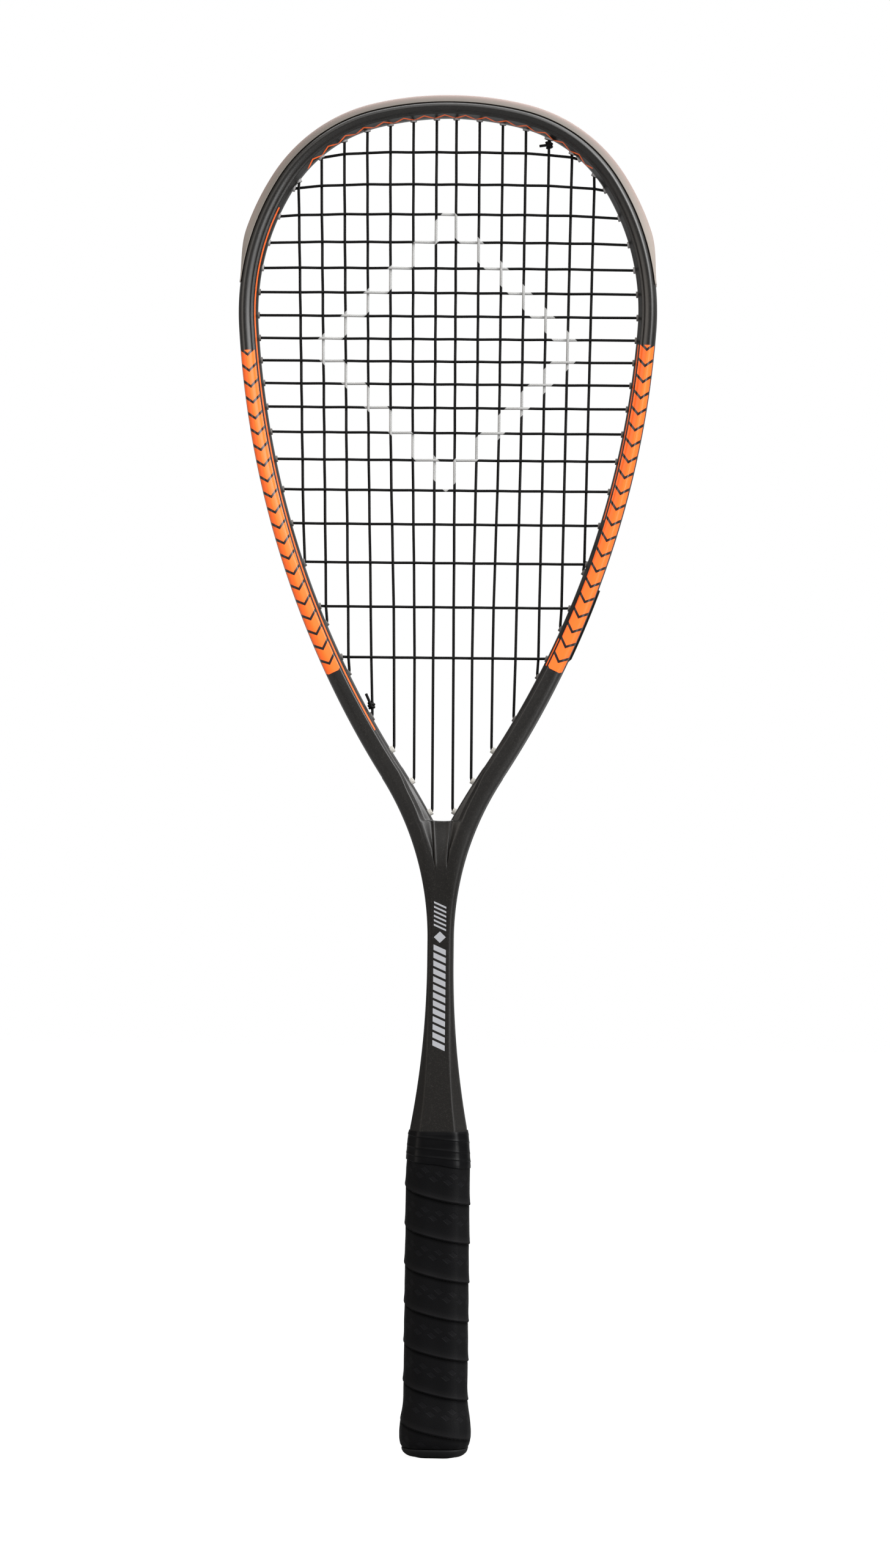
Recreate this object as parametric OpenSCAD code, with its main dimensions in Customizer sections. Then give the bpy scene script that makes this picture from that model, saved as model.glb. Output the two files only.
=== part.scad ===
// Squash racket: hollow composite frame with a V-shaped throat, woven string bed,
// bumper guard, grommets and a wrapped handle. Millimetres.
// Z runs along the racket from the centre of the butt end, X across the head,
// Y through its depth. The front face looks toward -Y.

/* [Overall] */
// Length from the butt end to the crown of the bumper guard
total_len = 686; // [680:1:686]
// Depth of the frame tube around the head
beam = 20; // [18:0.5:21]

/* [Head outline, tube centreline] */
// Radius of the crown arc
crown_r = 154.2; // [150:0.2:158]
// Half angle of the crown arc
crown_a = 13.87; // [13.5:0.01:14.2]
// Radius of each shoulder arc
shoulder_r = 74.5; // [73:0.1:76]
// Sweep of each shoulder arc
shoulder_a = 44.06; // [43.6:0.01:44.4]
// Radius of each side arc
side_r = 120.9; // [119:0.1:123]
// Sweep of each side arc
side_a = 35.96; // [35.6:0.01:36.4]
// Radius of the long arc of each throat arm
arm_r = 470.4; // [462:0.2:478]
// Height of the foot of the head opening
foot_z = 320.3; // [319:0.1:321]
// Half width of the foot of the head opening
foot_hw = 4.6; // [4.3:0.1:4.8]

/* [Frame tube] */
// Width of the tube, seen from the front, at the crown
tube_w_top = 7.8; // [7.4:0.1:8.2]
// Width of the tube at the widest part of the head
tube_w_side = 9.45; // [9:0.05:9.8]
// Width of the tube where the arms start
tube_w_low = 9.9; // [9.6:0.1:10.4]
// Width of the tube at the throat
tube_w_arm = 11.3; // [10.8:0.1:11.8]
// Thickness of the composite wall
wall = 1.1; // [1:0.05:1.5]
// Depth of the string groove round the outside
groove_d = 2.6; // [2.4:0.1:2.8]
// Half width of the groove floor
groove_hw = 2.1; // [2:0.05:2.2]

/* [Shaft] */
// Width of the shaft
shaft_w = 12.9; // [12.5:0.1:13.5]
// Depth of the shaft
shaft_d = 19; // [18:0.5:20]
// Radius of the flank between a throat arm and the shaft
flank_r = 150; // [145:1:155]
// Radius of the taper between the shaft and the handle
taper_r = 466; // [455:1:475]
// Height at which the taper begins
taper_z = 250; // [246:1:254]

/* [Handle] */
// Width of the handle under its wrapping
handle_w = 28.6; // [28:0.1:29.2]
// Depth of the handle under its wrapping
handle_d = 25.4; // [24.8:0.1:26]
// Height of the shoulder where the frame meets the handle moulding
handle_z = 163; // [161:1:165]
// Thickness of the grip wrapping
grip_t = 1.6; // [1.3:0.05:1.7]

/* [Strings] */
// String diameter
string_d = 1.3; // [1.15:0.05:1.3]
// Sideways lean of the mains at the crown
string_lean = -1.5; // [-1.5:0.1:0]
// Spacing of the mains near the crown
main_pitch_top = 11.6; // [11.5:0.05:11.7]
// Spacing of the mains near the throat
main_pitch_low = 10.75; // [10.7:0.05:10.8]

/* [Bumper and grommets] */
// How far the bumper guard stands proud of the tube
bumper_t = 3.5; // [3:0.1:3.6]
// Length of the bumper guard along each side from the crown
bumper_len = 149; // [147:0.5:150]
// Outside diameter of a grommet barrel
barrel_od = 3.4; // [3.2:0.1:3.5]
// Bore of a grommet barrel
barrel_id = 2; // [1.9:0.1:2.1]

/* [Hidden] */

// ---- helpers; side is -1 for the left half (-X) and 1 for the right ----
function lerp(from, to, share) = from + (to - from) * share;
function ease(share) = let (part = max(0, min(1, share))) part * part * (3 - 2 * part);
function unit(v) = v / norm(v);
function flat(lists) = [for (list = lists) for (item = list) item];
function rev(list) = [for (i = [len(list) - 1:-1:0]) list[i]];
// root of a function between low and high by halving
function root(func, low, high, steps = 30) = let (mid = (low + high) / 2)
    steps == 0 ? mid :
    func(low) * func(mid) <= 0 ? root(func, low, mid, steps - 1) :
    root(func, mid, high, steps - 1);
// [x, z] of the right half to a 3D point; + 0 turns -0 into 0
function place(point, y, side) = [side * point[0] + 0, y, point[1]];
function tri(a, b, c, flip) = flip ? [a, c, b] : [a, b, c];
// two triangles between point r of one ring, its neighbour and the next ring
function ring_quad(base, count, r, flip) =
    let (next = (r + 1) % count, far = base + count + next)
    [tri(base + r, base + next, far, flip), tri(base + r, far, base + count + r, flip)];

// solid through a list of rings
module loft(rings) {
    count = len(rings[0]);
    last = len(rings) - 1;
    polyhedron(flat(rings), concat(
        flat([for (i = [0:last - 1]) for (r = [0:count - 1]) ring_quad(i * count, count, r, true)]),
        [[for (r = [0:count - 1]) r], [for (r = [count - 1:-1:0]) last * count + r]]),
        convexity = 10);
}

// ---- head centreline: four tangent arcs a side; a run is the length from the crown ----
per_deg = PI / 180;
RADII = [crown_r, shoulder_r, side_r, arm_r];
ANGLES = [0, crown_a, crown_a + shoulder_a, crown_a + shoulder_a + side_a];
shoulder_run = crown_r * crown_a * per_deg;
side_run = shoulder_run + shoulder_r * shoulder_a * per_deg;
arm_run = side_run + side_r * side_a * per_deg;
RUNS = [0, shoulder_run, side_run, arm_run];
crown_z = total_len - bumper_t - tube_w_top / 2;
function heading(angle) = [sin(angle), cos(angle)];
function arc_centre(i) = i == 0 ? [0, crown_z - crown_r] :
    arc_centre(i - 1) + (RADII[i - 1] - RADII[i]) * heading(ANGLES[i]);
CENTRES = [for (i = [0:3]) arc_centre(i)];
function arc_at(run) = run < shoulder_run ? 0 : run < side_run ? 1 : run < arm_run ? 2 : 3;
function outward(run) = let (i = arc_at(run))
    heading(ANGLES[i] + (run - RUNS[i]) / RADII[i] / per_deg);
function centreline(run) = let (i = arc_at(run)) CENTRES[i] + RADII[i] * outward(run);
function tube_w(run) =
    lookup(run, [[0, tube_w_top], [150, tube_w_side], [300, tube_w_low], [440, tube_w_arm]]);
function outer_at(run) = centreline(run) + outward(run) * tube_w(run) / 2;
function inner_at(run) = centreline(run) - outward(run) * tube_w(run) / 2;
// 3D point at a distance out from the tube's outer edge
function edge_point(run, out, y, side) = place(outer_at(run) + outward(run) * out, y, side);

// ---- flank arc, tangent to the arm outside and to the straight shaft ----
arm_centre = CENTRES[3];
arm_outer_r = arm_r + tube_w_arm / 2;
arm_inner_r = arm_r - tube_w_arm / 2;
flank_cx = shaft_w / 2 + flank_r;
flank_centre = [flank_cx,
    arm_centre[1] - sqrt(pow(arm_outer_r + flank_r, 2) - pow(flank_cx - arm_centre[0], 2))];
join_angle = atan2(flank_centre[0] - arm_centre[0], flank_centre[1] - arm_centre[1]);
join_run = arm_run + (join_angle - ANGLES[3]) * arm_r * per_deg;
join_outer = arm_centre + arm_outer_r * heading(join_angle);
// half width of the frame below the arms
function half_width(z) =
    z >= flank_centre[1] ?
        flank_centre[0] - sqrt(flank_r * flank_r - pow(z - flank_centre[1], 2)) :
    z > taper_z ? shaft_w / 2 :
    min(handle_w / 2,
        shaft_w / 2 + taper_r - sqrt(taper_r * taper_r - pow(taper_z - z, 2)));
// crotch, the inner edge below the arms: a parabola from the arm's arc to the corner of the foot
crotch_lead = 18.1;
crotch_start = arm_centre + arm_inner_r * heading(join_angle);
crotch_mid = crotch_start + crotch_lead * [cos(join_angle), -sin(join_angle)];
crotch_end = [foot_hw, foot_z + .3];
function crotch(share) = (1 - share) * (1 - share) * crotch_start
    + 2 * share * (1 - share) * crotch_mid + share * share * crotch_end;
function crotch_outward(share) =
    let (d = unit(lerp(crotch_mid - crotch_start, crotch_end - crotch_mid, share)))
    [-d[1], d[0]];
// far end of the searches along the arm
search_end = join_run + 30;

// ---- tube sections ----
// Half rings for head, arm, shaft and handle, from the outer edge to the inner edge:
// [share of the way from outer to inner edge, share of half depth].
// In SKIN the groove takes the place of the first two points.
SKIN = [
    [[0,0],[0,0],[0,.29],[0,.56],[.04,.78],[.15,.93],[.40,1],[.62,.955],[.775,.76],
     [.935,.40],[1,.2],[1,0]],
    [[0,0],[0,0],[0,.31],[0,.58],[.04,.80],[.14,.93],[.38,1],[.63,.97],[.82,.73],
     [1,.46],[1,.2],[1,0]],
    [[0,0],[0,0],[0,.35],[0,.62],[.035,.80],[.15,.94],[.36,1],[.6,1],[.8,1],
     [1,1],[1,.2],[1,0]],
    [[0,0],[0,0],[0,.3],[0,.44],[.13,.63],[.26,.82],[.39,1],[.6,1],[.8,1],
     [1,1],[1,.2],[1,0]]];
DUCT = [
    [[0,0],[0,.42],[.06,.70],[.17,.84],[.46,.80],[1,.24],[1,0]],
    [[0,0],[0,.5],[.05,.72],[.24,.86],[.55,.80],[1,.30],[1,0]],
    [[0,0],[0,.6],[.05,.78],[.25,.87],[.6,.87],[1,.87],[1,0]],
    [[0,0],[0,.40],[.14,.58],[.32,.84],[.6,.86],[1,.86],[1,0]]];
duct_depth = .87; // greatest half depth in the shaft's DUCT table

// ---- stations along the frame ----
// [outer point, inner point, half depth, arm share, shaft share, handle share, groove share]
crotch_steps = 6;
flank_steps = 7;
shaft_steps = 3;
taper_steps = 7;
core_w = 21; // core of the frame inside the handle
core_d = 17;
core_end = 6;
beam_low_z = 270; // the depth grows to the beam over beam_rise above this
beam_rise = 50;
thin_z = taper_z - 20; // the depth grows to the handle's below this
function half_depth(z) =
    z > beam_low_z ? lerp(shaft_d / 2, beam / 2, ease((z - beam_low_z) / beam_rise)) :
    lerp(handle_d / 2, shaft_d / 2, ease((z - handle_z) / (thin_z - handle_z)));
HEAD_RUNS = concat(
    [for (i = [0:2]) shoulder_run * i / 3],
    [for (i = [0:7]) lerp(shoulder_run, side_run, i / 8)],
    [for (i = [0:5]) lerp(side_run, arm_run, i / 6)],
    [for (i = [0:7]) lerp(arm_run, join_run, i / 7)]);
arm_blend_run = arm_run + 40;
HEAD_STATIONS = [for (run = HEAD_RUNS)
    [outer_at(run), inner_at(run), beam / 2,
     ease((run - arm_blend_run) / (join_run - arm_blend_run)), 0, 0, 1]];
CROTCH_STATIONS = [for (i = [1:crotch_steps])
    let (z = lerp(join_outer[1], foot_z - 6.5, i / crotch_steps))
    [[half_width(z), z],
     i <= crotch_steps - 2 ? crotch(i / (crotch_steps - 2)) :
     i == crotch_steps - 1 ? [foot_hw * .62, foot_z + .05] : [0, foot_z],
     beam / 2, 1, 0, 0, 1]];
// heights on the centre plane below the foot
function middle_z(i) = foot_z - 4.2 * i - .45 * i * i;
FLANK_STATIONS = [for (i = [1:flank_steps])
    let (inner_z = middle_z(i), z = inner_z - 6 * pow(1 - i / flank_steps, 1.4))
    [[half_width(z), z], [0, inner_z], half_depth(z), 1, ease(i / 5), 0, i == 1 ? .5 : 0]];
SHAFT_STATIONS = [for (i = [1:shaft_steps])
    let (z = lerp(middle_z(flank_steps), taper_z, i / shaft_steps))
    [[half_width(z), z], [0, z], half_depth(z), 1, 1, 0, 0]];
TAPER_STATIONS = [for (i = [1:taper_steps])
    let (z = lerp(taper_z, handle_z + 1, i / taper_steps))
    [[half_width(z), z], [0, z], half_depth(z), 1, 1, ease((i - 1) / (taper_steps - 2)), 0]];
CORE_STATIONS = concat(
    [[[handle_w / 2, handle_z], [0, handle_z], handle_d / 2, 1, 1, 1, 0]],
    [for (z = [handle_z - .5, core_end]) [[core_w / 2, z], [0, z], core_d / 2, 1, 1, 0, 0]]);
STATIONS = concat(HEAD_STATIONS, CROTCH_STATIONS, FLANK_STATIONS,
                  SHAFT_STATIONS, TAPER_STATIONS, CORE_STATIONS);
last_station = len(STATIONS) - 1;
foot_station = len(HEAD_RUNS) + crotch_steps - 1;

// ---- frame rings: front half, then back half ----
skin_half = len(SKIN[0]) - 1;
skin_count = 2 * skin_half;
duct_half = len(DUCT[0]) - 1;
duct_count = 2 * duct_half;
function blend(tables, st) = [for (k = [0:len(tables[0]) - 1])
    lerp(lerp(lerp(tables[0][k], tables[1][k], st[3]), tables[2][k], st[4]),
         tables[3][k], st[5])];
function station_point(st, across, y, side) = place(lerp(st[0], st[1], across), y, side);
function skin_ring(st, side) =
    let (width = norm(st[1] - st[0]), depth = st[2], groove = st[6],
         groove_floor = groove_d * groove / width, table = blend(SKIN, st))
    [for (r = [0:skin_count - 1])
        let (k = r <= skin_half ? r : skin_count - r, face = r <= skin_half ? -1 : 1)
        station_point(st, k < 2 ? groove_floor : table[k][0],
            face * (k == 1 ? lerp(depth * .15, groove_hw, groove) : table[k][1] * depth),
            side)];
// the two ducts lie side by side below the throat with a web between them
function duct_ring(st, side) =
    let (width = norm(st[1] - st[0]), depth = st[2], table = blend(DUCT, st),
         outer = (wall + groove_d * st[6]) / width,
         inner = 1 - lerp(wall * 1.15, .7, st[4]) / width,
         scale_y = (1 - wall / depth) / duct_depth)
    [for (r = [0:duct_count - 1])
        let (k = r <= duct_half ? r : duct_count - r, face = r <= duct_half ? -1 : 1)
        station_point(st, lerp(outer, inner, table[k][0]),
            face * table[k][1] * scale_y * depth, side)];

// index of point k on the front or back half of a ring
function on_ring(base, count, k, front) = base + (front ? k : (count - k) % count);
// duct point that each skin point joins at the butt end of the frame
NEAR = [0, 0, 0, 1, 1, 2, 3, 4, 4, 5];
// skin and duct are the first indices of the last rings of one half
function end_faces(skin, duct, left) = concat(
    flat([for (k = [0:len(NEAR) - 2]) for (front = [true, false]) let (
        a = on_ring(skin, skin_count, k, front),
        b = on_ring(skin, skin_count, k + 1, front),
        near_a = on_ring(duct, duct_count, NEAR[k], front),
        near_b = on_ring(duct, duct_count, NEAR[k + 1], front),
        flip = left != front)
        concat([tri(a, b, near_a, flip)],
               NEAR[k] == NEAR[k + 1] ? [] : [tri(b, near_b, near_a, flip)])]),
    let (a = skin + skin_half - 2, b = skin + skin_half + 2, mid = duct + duct_half)
        [tri(a, mid - 1, mid, left), tri(a, mid, b, left), tri(b, mid, mid + 1, left)]);

module frame_body() {
    skin_total = len(STATIONS) * skin_count;
    duct_total = len(STATIONS) * duct_count;
    points = concat(
        flat([for (side = [1, -1]) for (st = STATIONS) skin_ring(st, side)]),
        flat([for (side = [1, -1]) for (st = STATIONS) duct_ring(st, side)]));
    skin_base = [0, skin_total];
    duct_base = [2 * skin_total, 2 * skin_total + duct_total];
    // below the foot the halves merge, so the skin has no faces on the centre plane
    skin = flat([for (m = [0, 1]) for (i = [0:last_station - 1]) for (r = [0:skin_count - 1])
        if (i < foot_station || r < skin_half - 2 || r > skin_half + 1)
            ring_quad(skin_base[m] + i * skin_count, skin_count, r, m == 0)]);
    duct = flat([for (m = [0, 1]) for (i = [0:last_station - 1]) for (r = [0:duct_count - 1])
        ring_quad(duct_base[m] + i * duct_count, duct_count, r, m == 1)]);
    ends = flat([for (m = [0, 1]) end_faces(skin_base[m] + last_station * skin_count,
        duct_base[m] + last_station * duct_count, m == 1)]);
    polyhedron(points, concat(skin, duct, ends), convexity = 10);
}

// ---- string layout: mains 0 to 13 from left to right, rows 0 to 17 from the crown down ----
main_count = 14;
last_main = main_count - 1;
MAINS = [0:last_main];
last_row = 17;
ROWS = [0:last_row];
tie_top_main = 11; // mains whose holes also take a tie-off
tie_low_main = 3;
// place of a main in its half, 0 to 6 from the centre
function rank(main) = main < main_count / 2 ? main_count / 2 - 1 - main : main - main_count / 2;
function side_of(main) = main < main_count / 2 ? -1 : 1;
first_x_top = 5; // half gap between the two middle mains, at the two pitch heights
first_x_low = 5.1;
pitch_top_z = 640;
pitch_low_z = 395;
lean_z = 350; // height at which the lean is nil
// the inner mains draw in a little towards the throat, by rank
DRAW_IN = [0, 1.3, 1.8, 1, .3, 0, 0];
draw_top_z = 530;
draw_span = 130;
function main_x(main, z) = let (i = rank(main))
    side_of(main) * (lerp(first_x_low + main_pitch_low * i, first_x_top + main_pitch_top * i,
                          (z - pitch_low_z) / (pitch_top_z - pitch_low_z))
                     - DRAW_IN[i] * ease((draw_top_z - z) / draw_span))
    + string_lean * (z - lean_z) / (pitch_top_z - lean_z);
// heights of the crosses, closest together in the middle of the head
function cross_z(row) = let (q = row - last_row / 2)
    546.28 - 11.4537 * q - .13948 * q * q - .04908 * pow(q, 3) - .00118 * pow(q, 4);
// the ends bow down by 3 at x = 66 on the top cross, less on each one below
function cross_at(row, x) = cross_z(row) - 3 * pow(.4, row) * pow(x / 66, 4);

// the inner mains a side end in grommets that stand proud of the inner edge
proud = 1.9;
throat_ranks = 3;
crotch_ranks = 2; // of these, the ones that end on the crotch
// how far a main lies inside an inner-edge point, zero on the string
function main_gap(main, point) = side_of(main) * main_x(main, point[1]) - point[0];
TOP_RUNS = [for (m = MAINS) root(function (run) main_gap(m, inner_at(run)), 0, 165)];
LOW_RUNS = [for (m = MAINS) let (out = rank(m) < throat_ranks ? proud : 0)
    root(function (run) main_gap(m, inner_at(run) - out * outward(run)), 175, search_end)];
CROTCH_SHARES = [for (m = MAINS) rank(m) >= crotch_ranks ? 0 :
    root(function (share) main_gap(m, crotch(share) - proud * crotch_outward(share)), 0, 1)];
CROSS_RUNS = [for (j = ROWS)
    root(function (run) inner_at(run)[1] - cross_at(j, inner_at(run)[0]), 20, search_end)];

// ---- holes: [run, side, entry point, axis pointing out, is a tie-off] ----
function hole_run(hole) = hole[0];
function hole_side(hole) = hole[1];
function entry(hole) = hole[2];
function axis(hole) = hole[3];
// between the tube's normal and a string direction
function lean_axis(run, dir) = unit(outward(run) + dir);
function low_inner(main) =
    rank(main) < crotch_ranks ? crotch(CROTCH_SHARES[main]) : inner_at(LOW_RUNS[main]);
function low_axis(main) =
    rank(main) < crotch_ranks ? crotch_outward(CROTCH_SHARES[main]) :
    rank(main) < 4 ? outward(LOW_RUNS[main]) : lean_axis(LOW_RUNS[main], [.6, -.8]);
function top_hole(main) = let (run = TOP_RUNS[main])
    [run, side_of(main), inner_at(run), lean_axis(run, [0, 1]), main == tie_top_main];
function low_hole(main) =
    [rank(main) < crotch_ranks ? join_run : LOW_RUNS[main], side_of(main),
     low_inner(main), low_axis(main), main == tie_low_main];
function cross_hole(row, side) = let (run = CROSS_RUNS[row])
    [run, side, inner_at(run), lean_axis(run, [1, 0]), false];
guard_rows = 5; // rows whose holes pass through the bumper guard
GUARD_HOLES = concat(
    [for (m = MAINS) top_hole(m)],
    [for (j = [0:guard_rows - 1]) for (side = [-1, 1]) cross_hole(j, side)]);
function strip_holes(side) = concat(
    [for (j = [guard_rows:last_row]) cross_hole(j, side)],
    [for (m = MAINS) if (side_of(m) == side && rank(m) >= throat_ranks) low_hole(m)]);
function throat_holes(side) =
    [for (m = MAINS) if (side_of(m) == side && rank(m) < throat_ranks) low_hole(m)];

// distance from a point along a direction to a circle
function ray_circle(point, dir, centre, radius) =
    let (d = point - centre, b = d * dir) -b - sqrt(b * b - d * d + radius * radius);
// distance along a hole's axis to a given depth inside the outer edge
function reach(hole, depth) =
    let (dist = (tube_w(hole_run(hole)) - depth) / (axis(hole) * outward(hole_run(hole))))
    (entry(hole) + axis(hole) * dist)[1] < join_outer[1] ?
        ray_circle(entry(hole), axis(hole), flank_centre, flank_r + depth) : dist;
// 3D point at a distance along a hole's axis
function hole_point(hole, dist, y = 0) =
    place(entry(hole) + axis(hole) * dist, y, hole_side(hole));
function tilt(dir, side) = [0, side * atan2(dir[0], dir[1]), 0];
// rod along a hole's axis between two distances from its entry
module rod(hole, from, to, radius, fn = 20) {
    translate(hole_point(hole, from))
        rotate(tilt(axis(hole), hole_side(hole)))
            cylinder(r = radius, h = to - from, $fn = fn);
}
// tie-off holes are wider by
tie_extra = 1.3;
function wider(hole) = hole[4] ? tie_extra : 0;
module hole_cut(hole)
    rod(hole, -3.5, reach(hole, groove_d) + 4, (wider(hole) + barrel_od) / 2 + .1, 16);
module barrel(hole)
    rod(hole, -.9, reach(hole, groove_d - .4), (wider(hole) + barrel_od) / 2);
module bore(hole)
    rod(hole, -4, reach(hole, groove_d) + 4, (wider(hole) + barrel_id) / 2);
// the children with a bored barrel at each hole
module with_barrels(holes) difference() {
    union() {
        children();
        for (hole = holes) barrel(hole);
    }
    for (hole = holes) bore(hole);
}

// ---- grommet strips and bumper guard: sections are [outward from the outer edge, y] ----
function section_at(run, section, side, swell = 1) =
    [for (p = section) edge_point(run, p[0] * (p[0] > 0 ? swell : 1), p[1], side)];
function runs_between(from, to) =
    concat([from], [for (run = HEAD_RUNS) if (run > from + 3 && run < to - 3) run], [to]);
strip_floor = -groove_d + .02;
strip_top = strip_floor + .8;
strip_hw = groove_hw - .1;
STRIP = [[strip_floor, -strip_hw], [strip_top, -strip_hw],
         [strip_top, strip_hw], [strip_floor, strip_hw]];
strip_end_z = 366;
strip_end = root(function (run) inner_at(run)[1] - strip_end_z, arm_run, search_end);
module strip(side) with_barrels(strip_holes(side)) {
    rings = [for (run = runs_between(bumper_len + 1.5, strip_end)) section_at(run, STRIP, side)];
    loft(side < 0 ? rings : rev(rings));
}
half_beam = beam / 2;
GUARD_BACK = [
    [-groove_d + .85, groove_hw - .25], [bumper_t - .3, groove_hw + .1],
    [bumper_t, groove_hw + .6], [bumper_t * .98, .42 * half_beam],
    [bumper_t * .72, .60 * half_beam], [bumper_t * .34, .72 * half_beam],
    [-.02 * half_beam, .81 * half_beam], [-.03 * half_beam, .775 * half_beam],
    [.02, .56 * half_beam], [.02, .29 * half_beam], [-groove_d + .02, groove_hw - .03]];
GUARD = concat([for (p = GUARD_BACK) [p[0], -p[1]]], rev(GUARD_BACK));
guard_fade = 26; // length over which each end thins to guard_thin
guard_thin = .12;
function guard_swell(run) = lerp(guard_thin, 1, ease((bumper_len - run) / guard_fade));
module guard() {
    right = runs_between(0, bumper_len);
    runs = concat([for (i = [len(right) - 1:-1:1]) -right[i]], right);
    with_barrels(GUARD_HOLES)
        loft([for (run = runs)
            section_at(abs(run), GUARD, run < 0 ? -1 : 1, guard_swell(abs(run)))]);
}
// single throat grommet: flanged barrel
module throat_grommet(hole) {
    depth = reach(hole, groove_d);
    flange_r = 1.95;
    difference() {
        union() {
            rod(hole, -proud, depth + .5, barrel_od / 2);
            rod(hole, depth + .25, depth + .8, flange_r);
        }
        rod(hole, -proud - 1, depth + 2, barrel_id / 2);
    }
}

// ---- strings ----
weave = string_d / 2 + .03; // how far a string swings off the middle plane
lane = string_d + .06; // y offset of the loops in the groove
bend = groove_d - .85 - string_d / 2; // depth at which a string turns into the groove
tail_y = .9; // y at which a string's tail enters its tie-off hole
inside = .6; // how far inside the entry of a hole a string starts
lead_out = .25; // how far outside the edge the lead to the crosses lies
function bend_point(hole, y = 0) = hole_point(hole, reach(hole, bend), y);
// run at which a hole's axis comes to a depth inside the outer edge
function run_at(hole, depth) =
    let (d = entry(hole) + axis(hole) * reach(hole, depth), i = arc_at(hole_run(hole)),
         v = d - CENTRES[i])
    RUNS[i] + (atan2(v[0], v[1]) - ANGLES[i]) * RADII[i] * per_deg;
// points along the groove from one hole to the next on the same side
function along(first, second, y) =
    let (side = hole_side(first),
         z1 = bend_point(first)[2],
         z2 = bend_point(second)[2])
    concat(
        [bend_point(first)],
        z1 < join_outer[1] || z2 < join_outer[1] ?
            [for (i = [1:3]) let (z = lerp(z1, z2, i / 4))
                [side * (half_width(z) - bend * 1.1), y, z]] :
            let (run1 = run_at(first, bend), run2 = run_at(second, bend),
                 n = max(2, ceil(abs(run2 - run1) / 9)))
            [for (i = [1:n - (n > 2 ? 1 : 0)])
                edge_point(lerp(run1, run2, n > 2 ? i / n : (i - .5) / n), -bend, y, side)],
        [bend_point(second)]);
// the crossing of a main and a row as a list, empty outside the head opening
function crossing(main, row, lift) =
    let (z = cross_at(row, main_x(main, cross_z(row))))
    z < inner_at(TOP_RUNS[main])[1] - 1.5 && z > low_inner(main)[1] + 1.5 ?
        [[main_x(main, z), ((main + row) % 2 == 0 ? 1 : -1) * lift, z]] : [];
// a main from its crown hole down to its throat hole
function main_path(main) = concat(
    [hole_point(top_hole(main), -inside)],
    flat([for (j = ROWS) crossing(main, j, weave)]),
    [hole_point(low_hole(main), rank(main) < throat_ranks ? -proud : -inside)]);
function top_loop(main) = let (first = top_hole(main), second = top_hole(main + 1))
    hole_side(first) != hole_side(second) ?
        [bend_point(first), edge_point(0, -bend, -lane, 1), bend_point(second)] :
        along(first, second, -lane);
MAIN_PATH = flat([for (m = MAINS) concat(
    m % 2 == 0 ? rev(main_path(m)) : main_path(m),
    m == last_main ? [bend_point(low_hole(m))] :
    m % 2 == 0 ? top_loop(m) : along(low_hole(m), low_hole(m + 1), -lane))]);
// a cross from left to right
function cross_path(row) = concat(
    [hole_point(cross_hole(row, -1), -inside)],
    flat([for (m = MAINS) crossing(m, row, -weave)]),
    [hole_point(cross_hole(row, 1), -inside)]);
// from the last main's hole to the lowest cross, stacked over the loops
LEAD = let (hole = cross_hole(last_row, 1),
            from = run_at(low_hole(last_main), 0) + 3, to = run_at(hole, 0) - 3)
    concat([for (i = [0:4]) edge_point(lerp(from, to, i / 4), lead_out, 0, 1)],
           [bend_point(hole)]);
// along the groove to the tie-off hole near the crown
TAIL = let (first = cross_hole(0, 1), second = top_hole(tie_top_main),
            from = run_at(first, bend), to = run_at(second, bend))
    concat([bend_point(first)],
           [for (i = [1:3]) edge_point(lerp(from, to, i / 4), -bend, lane, 1)],
           [bend_point(second, tail_y)]);
CROSS_PATH = concat(
    LEAD,
    flat([for (j = [last_row:-1:0]) let (side = j % 2 == 1 ? -1 : 1) concat(
        side < 0 ? rev(cross_path(j)) : cross_path(j),
        j == 0 ? [] : along(cross_hole(j, side), cross_hole(j - 1, side), lane))]),
    TAIL);

// string along a path that never runs along Y; its sections are widened at bends
module cord(path, sides = 6) {
    last = len(path) - 1;
    dirs = [for (i = [0:last - 1]) unit(path[i + 1] - path[i])];
    loft([for (i = [0:last]) let (
        before = dirs[max(0, i - 1)],
        mean = unit(before + dirs[min(last - 1, i)]),
        flat_dir = unit(cross([0, 1, 0], mean)),
        deep_dir = cross(mean, flat_dir),
        widen = min(1.5, 1 / max(.5, before * mean)))
        [for (k = [0:sides - 1]) path[i] + string_d / 2
            * (cos(360 * k / sides) * flat_dir * widen + sin(360 * k / sides) * deep_dir)]]);
}
// two turns round a string at an [x, z] point, and a cut tail
module knot(point, tail_dir, side, tail_len) {
    turn_r = string_d + .06;
    translate(place(point, 0, side))
        for (k = [0, 1]) translate([0, 0, k * (string_d + .02)])
            rotate_extrude($fn = 28) translate([turn_r, 0]) circle(d = string_d, $fn = 16);
    translate(place(point + [0, string_d * .5], turn_r, side))
        rotate(tilt(tail_dir, side)) cylinder(d = string_d, h = tail_len, $fn = 16);
}

// ---- handle ----
// octagon grown by a margin, with bevels that keep the handle's proportions
function octagon(grow) =
    let (a = handle_w / 2 + grow, b = handle_d / 2 + grow, flat_x = .61 * a, flat_y = .44 * b)
    [[a, -flat_y], [a, flat_y], [flat_x, b], [-flat_x, b],
     [-a, flat_y], [-a, -flat_y], [-flat_x, -b], [flat_x, -b]];
// profile: [z, margin] from the top down
module oct_loft(profile)
    loft([for (row = profile) [for (p = rev(octagon(row[1]))) [p[0], p[1], row[0]]]]);
module oct_bar(z, height, grow)
    translate([0, 0, z]) linear_extrude(height) polygon(octagon(grow));
// profiles: [z, margin] from the bottom up
module oct_sleeve(outer, inner) difference() {
    oct_loft(rev(outer));
    oct_loft(rev(inner));
}
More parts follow.
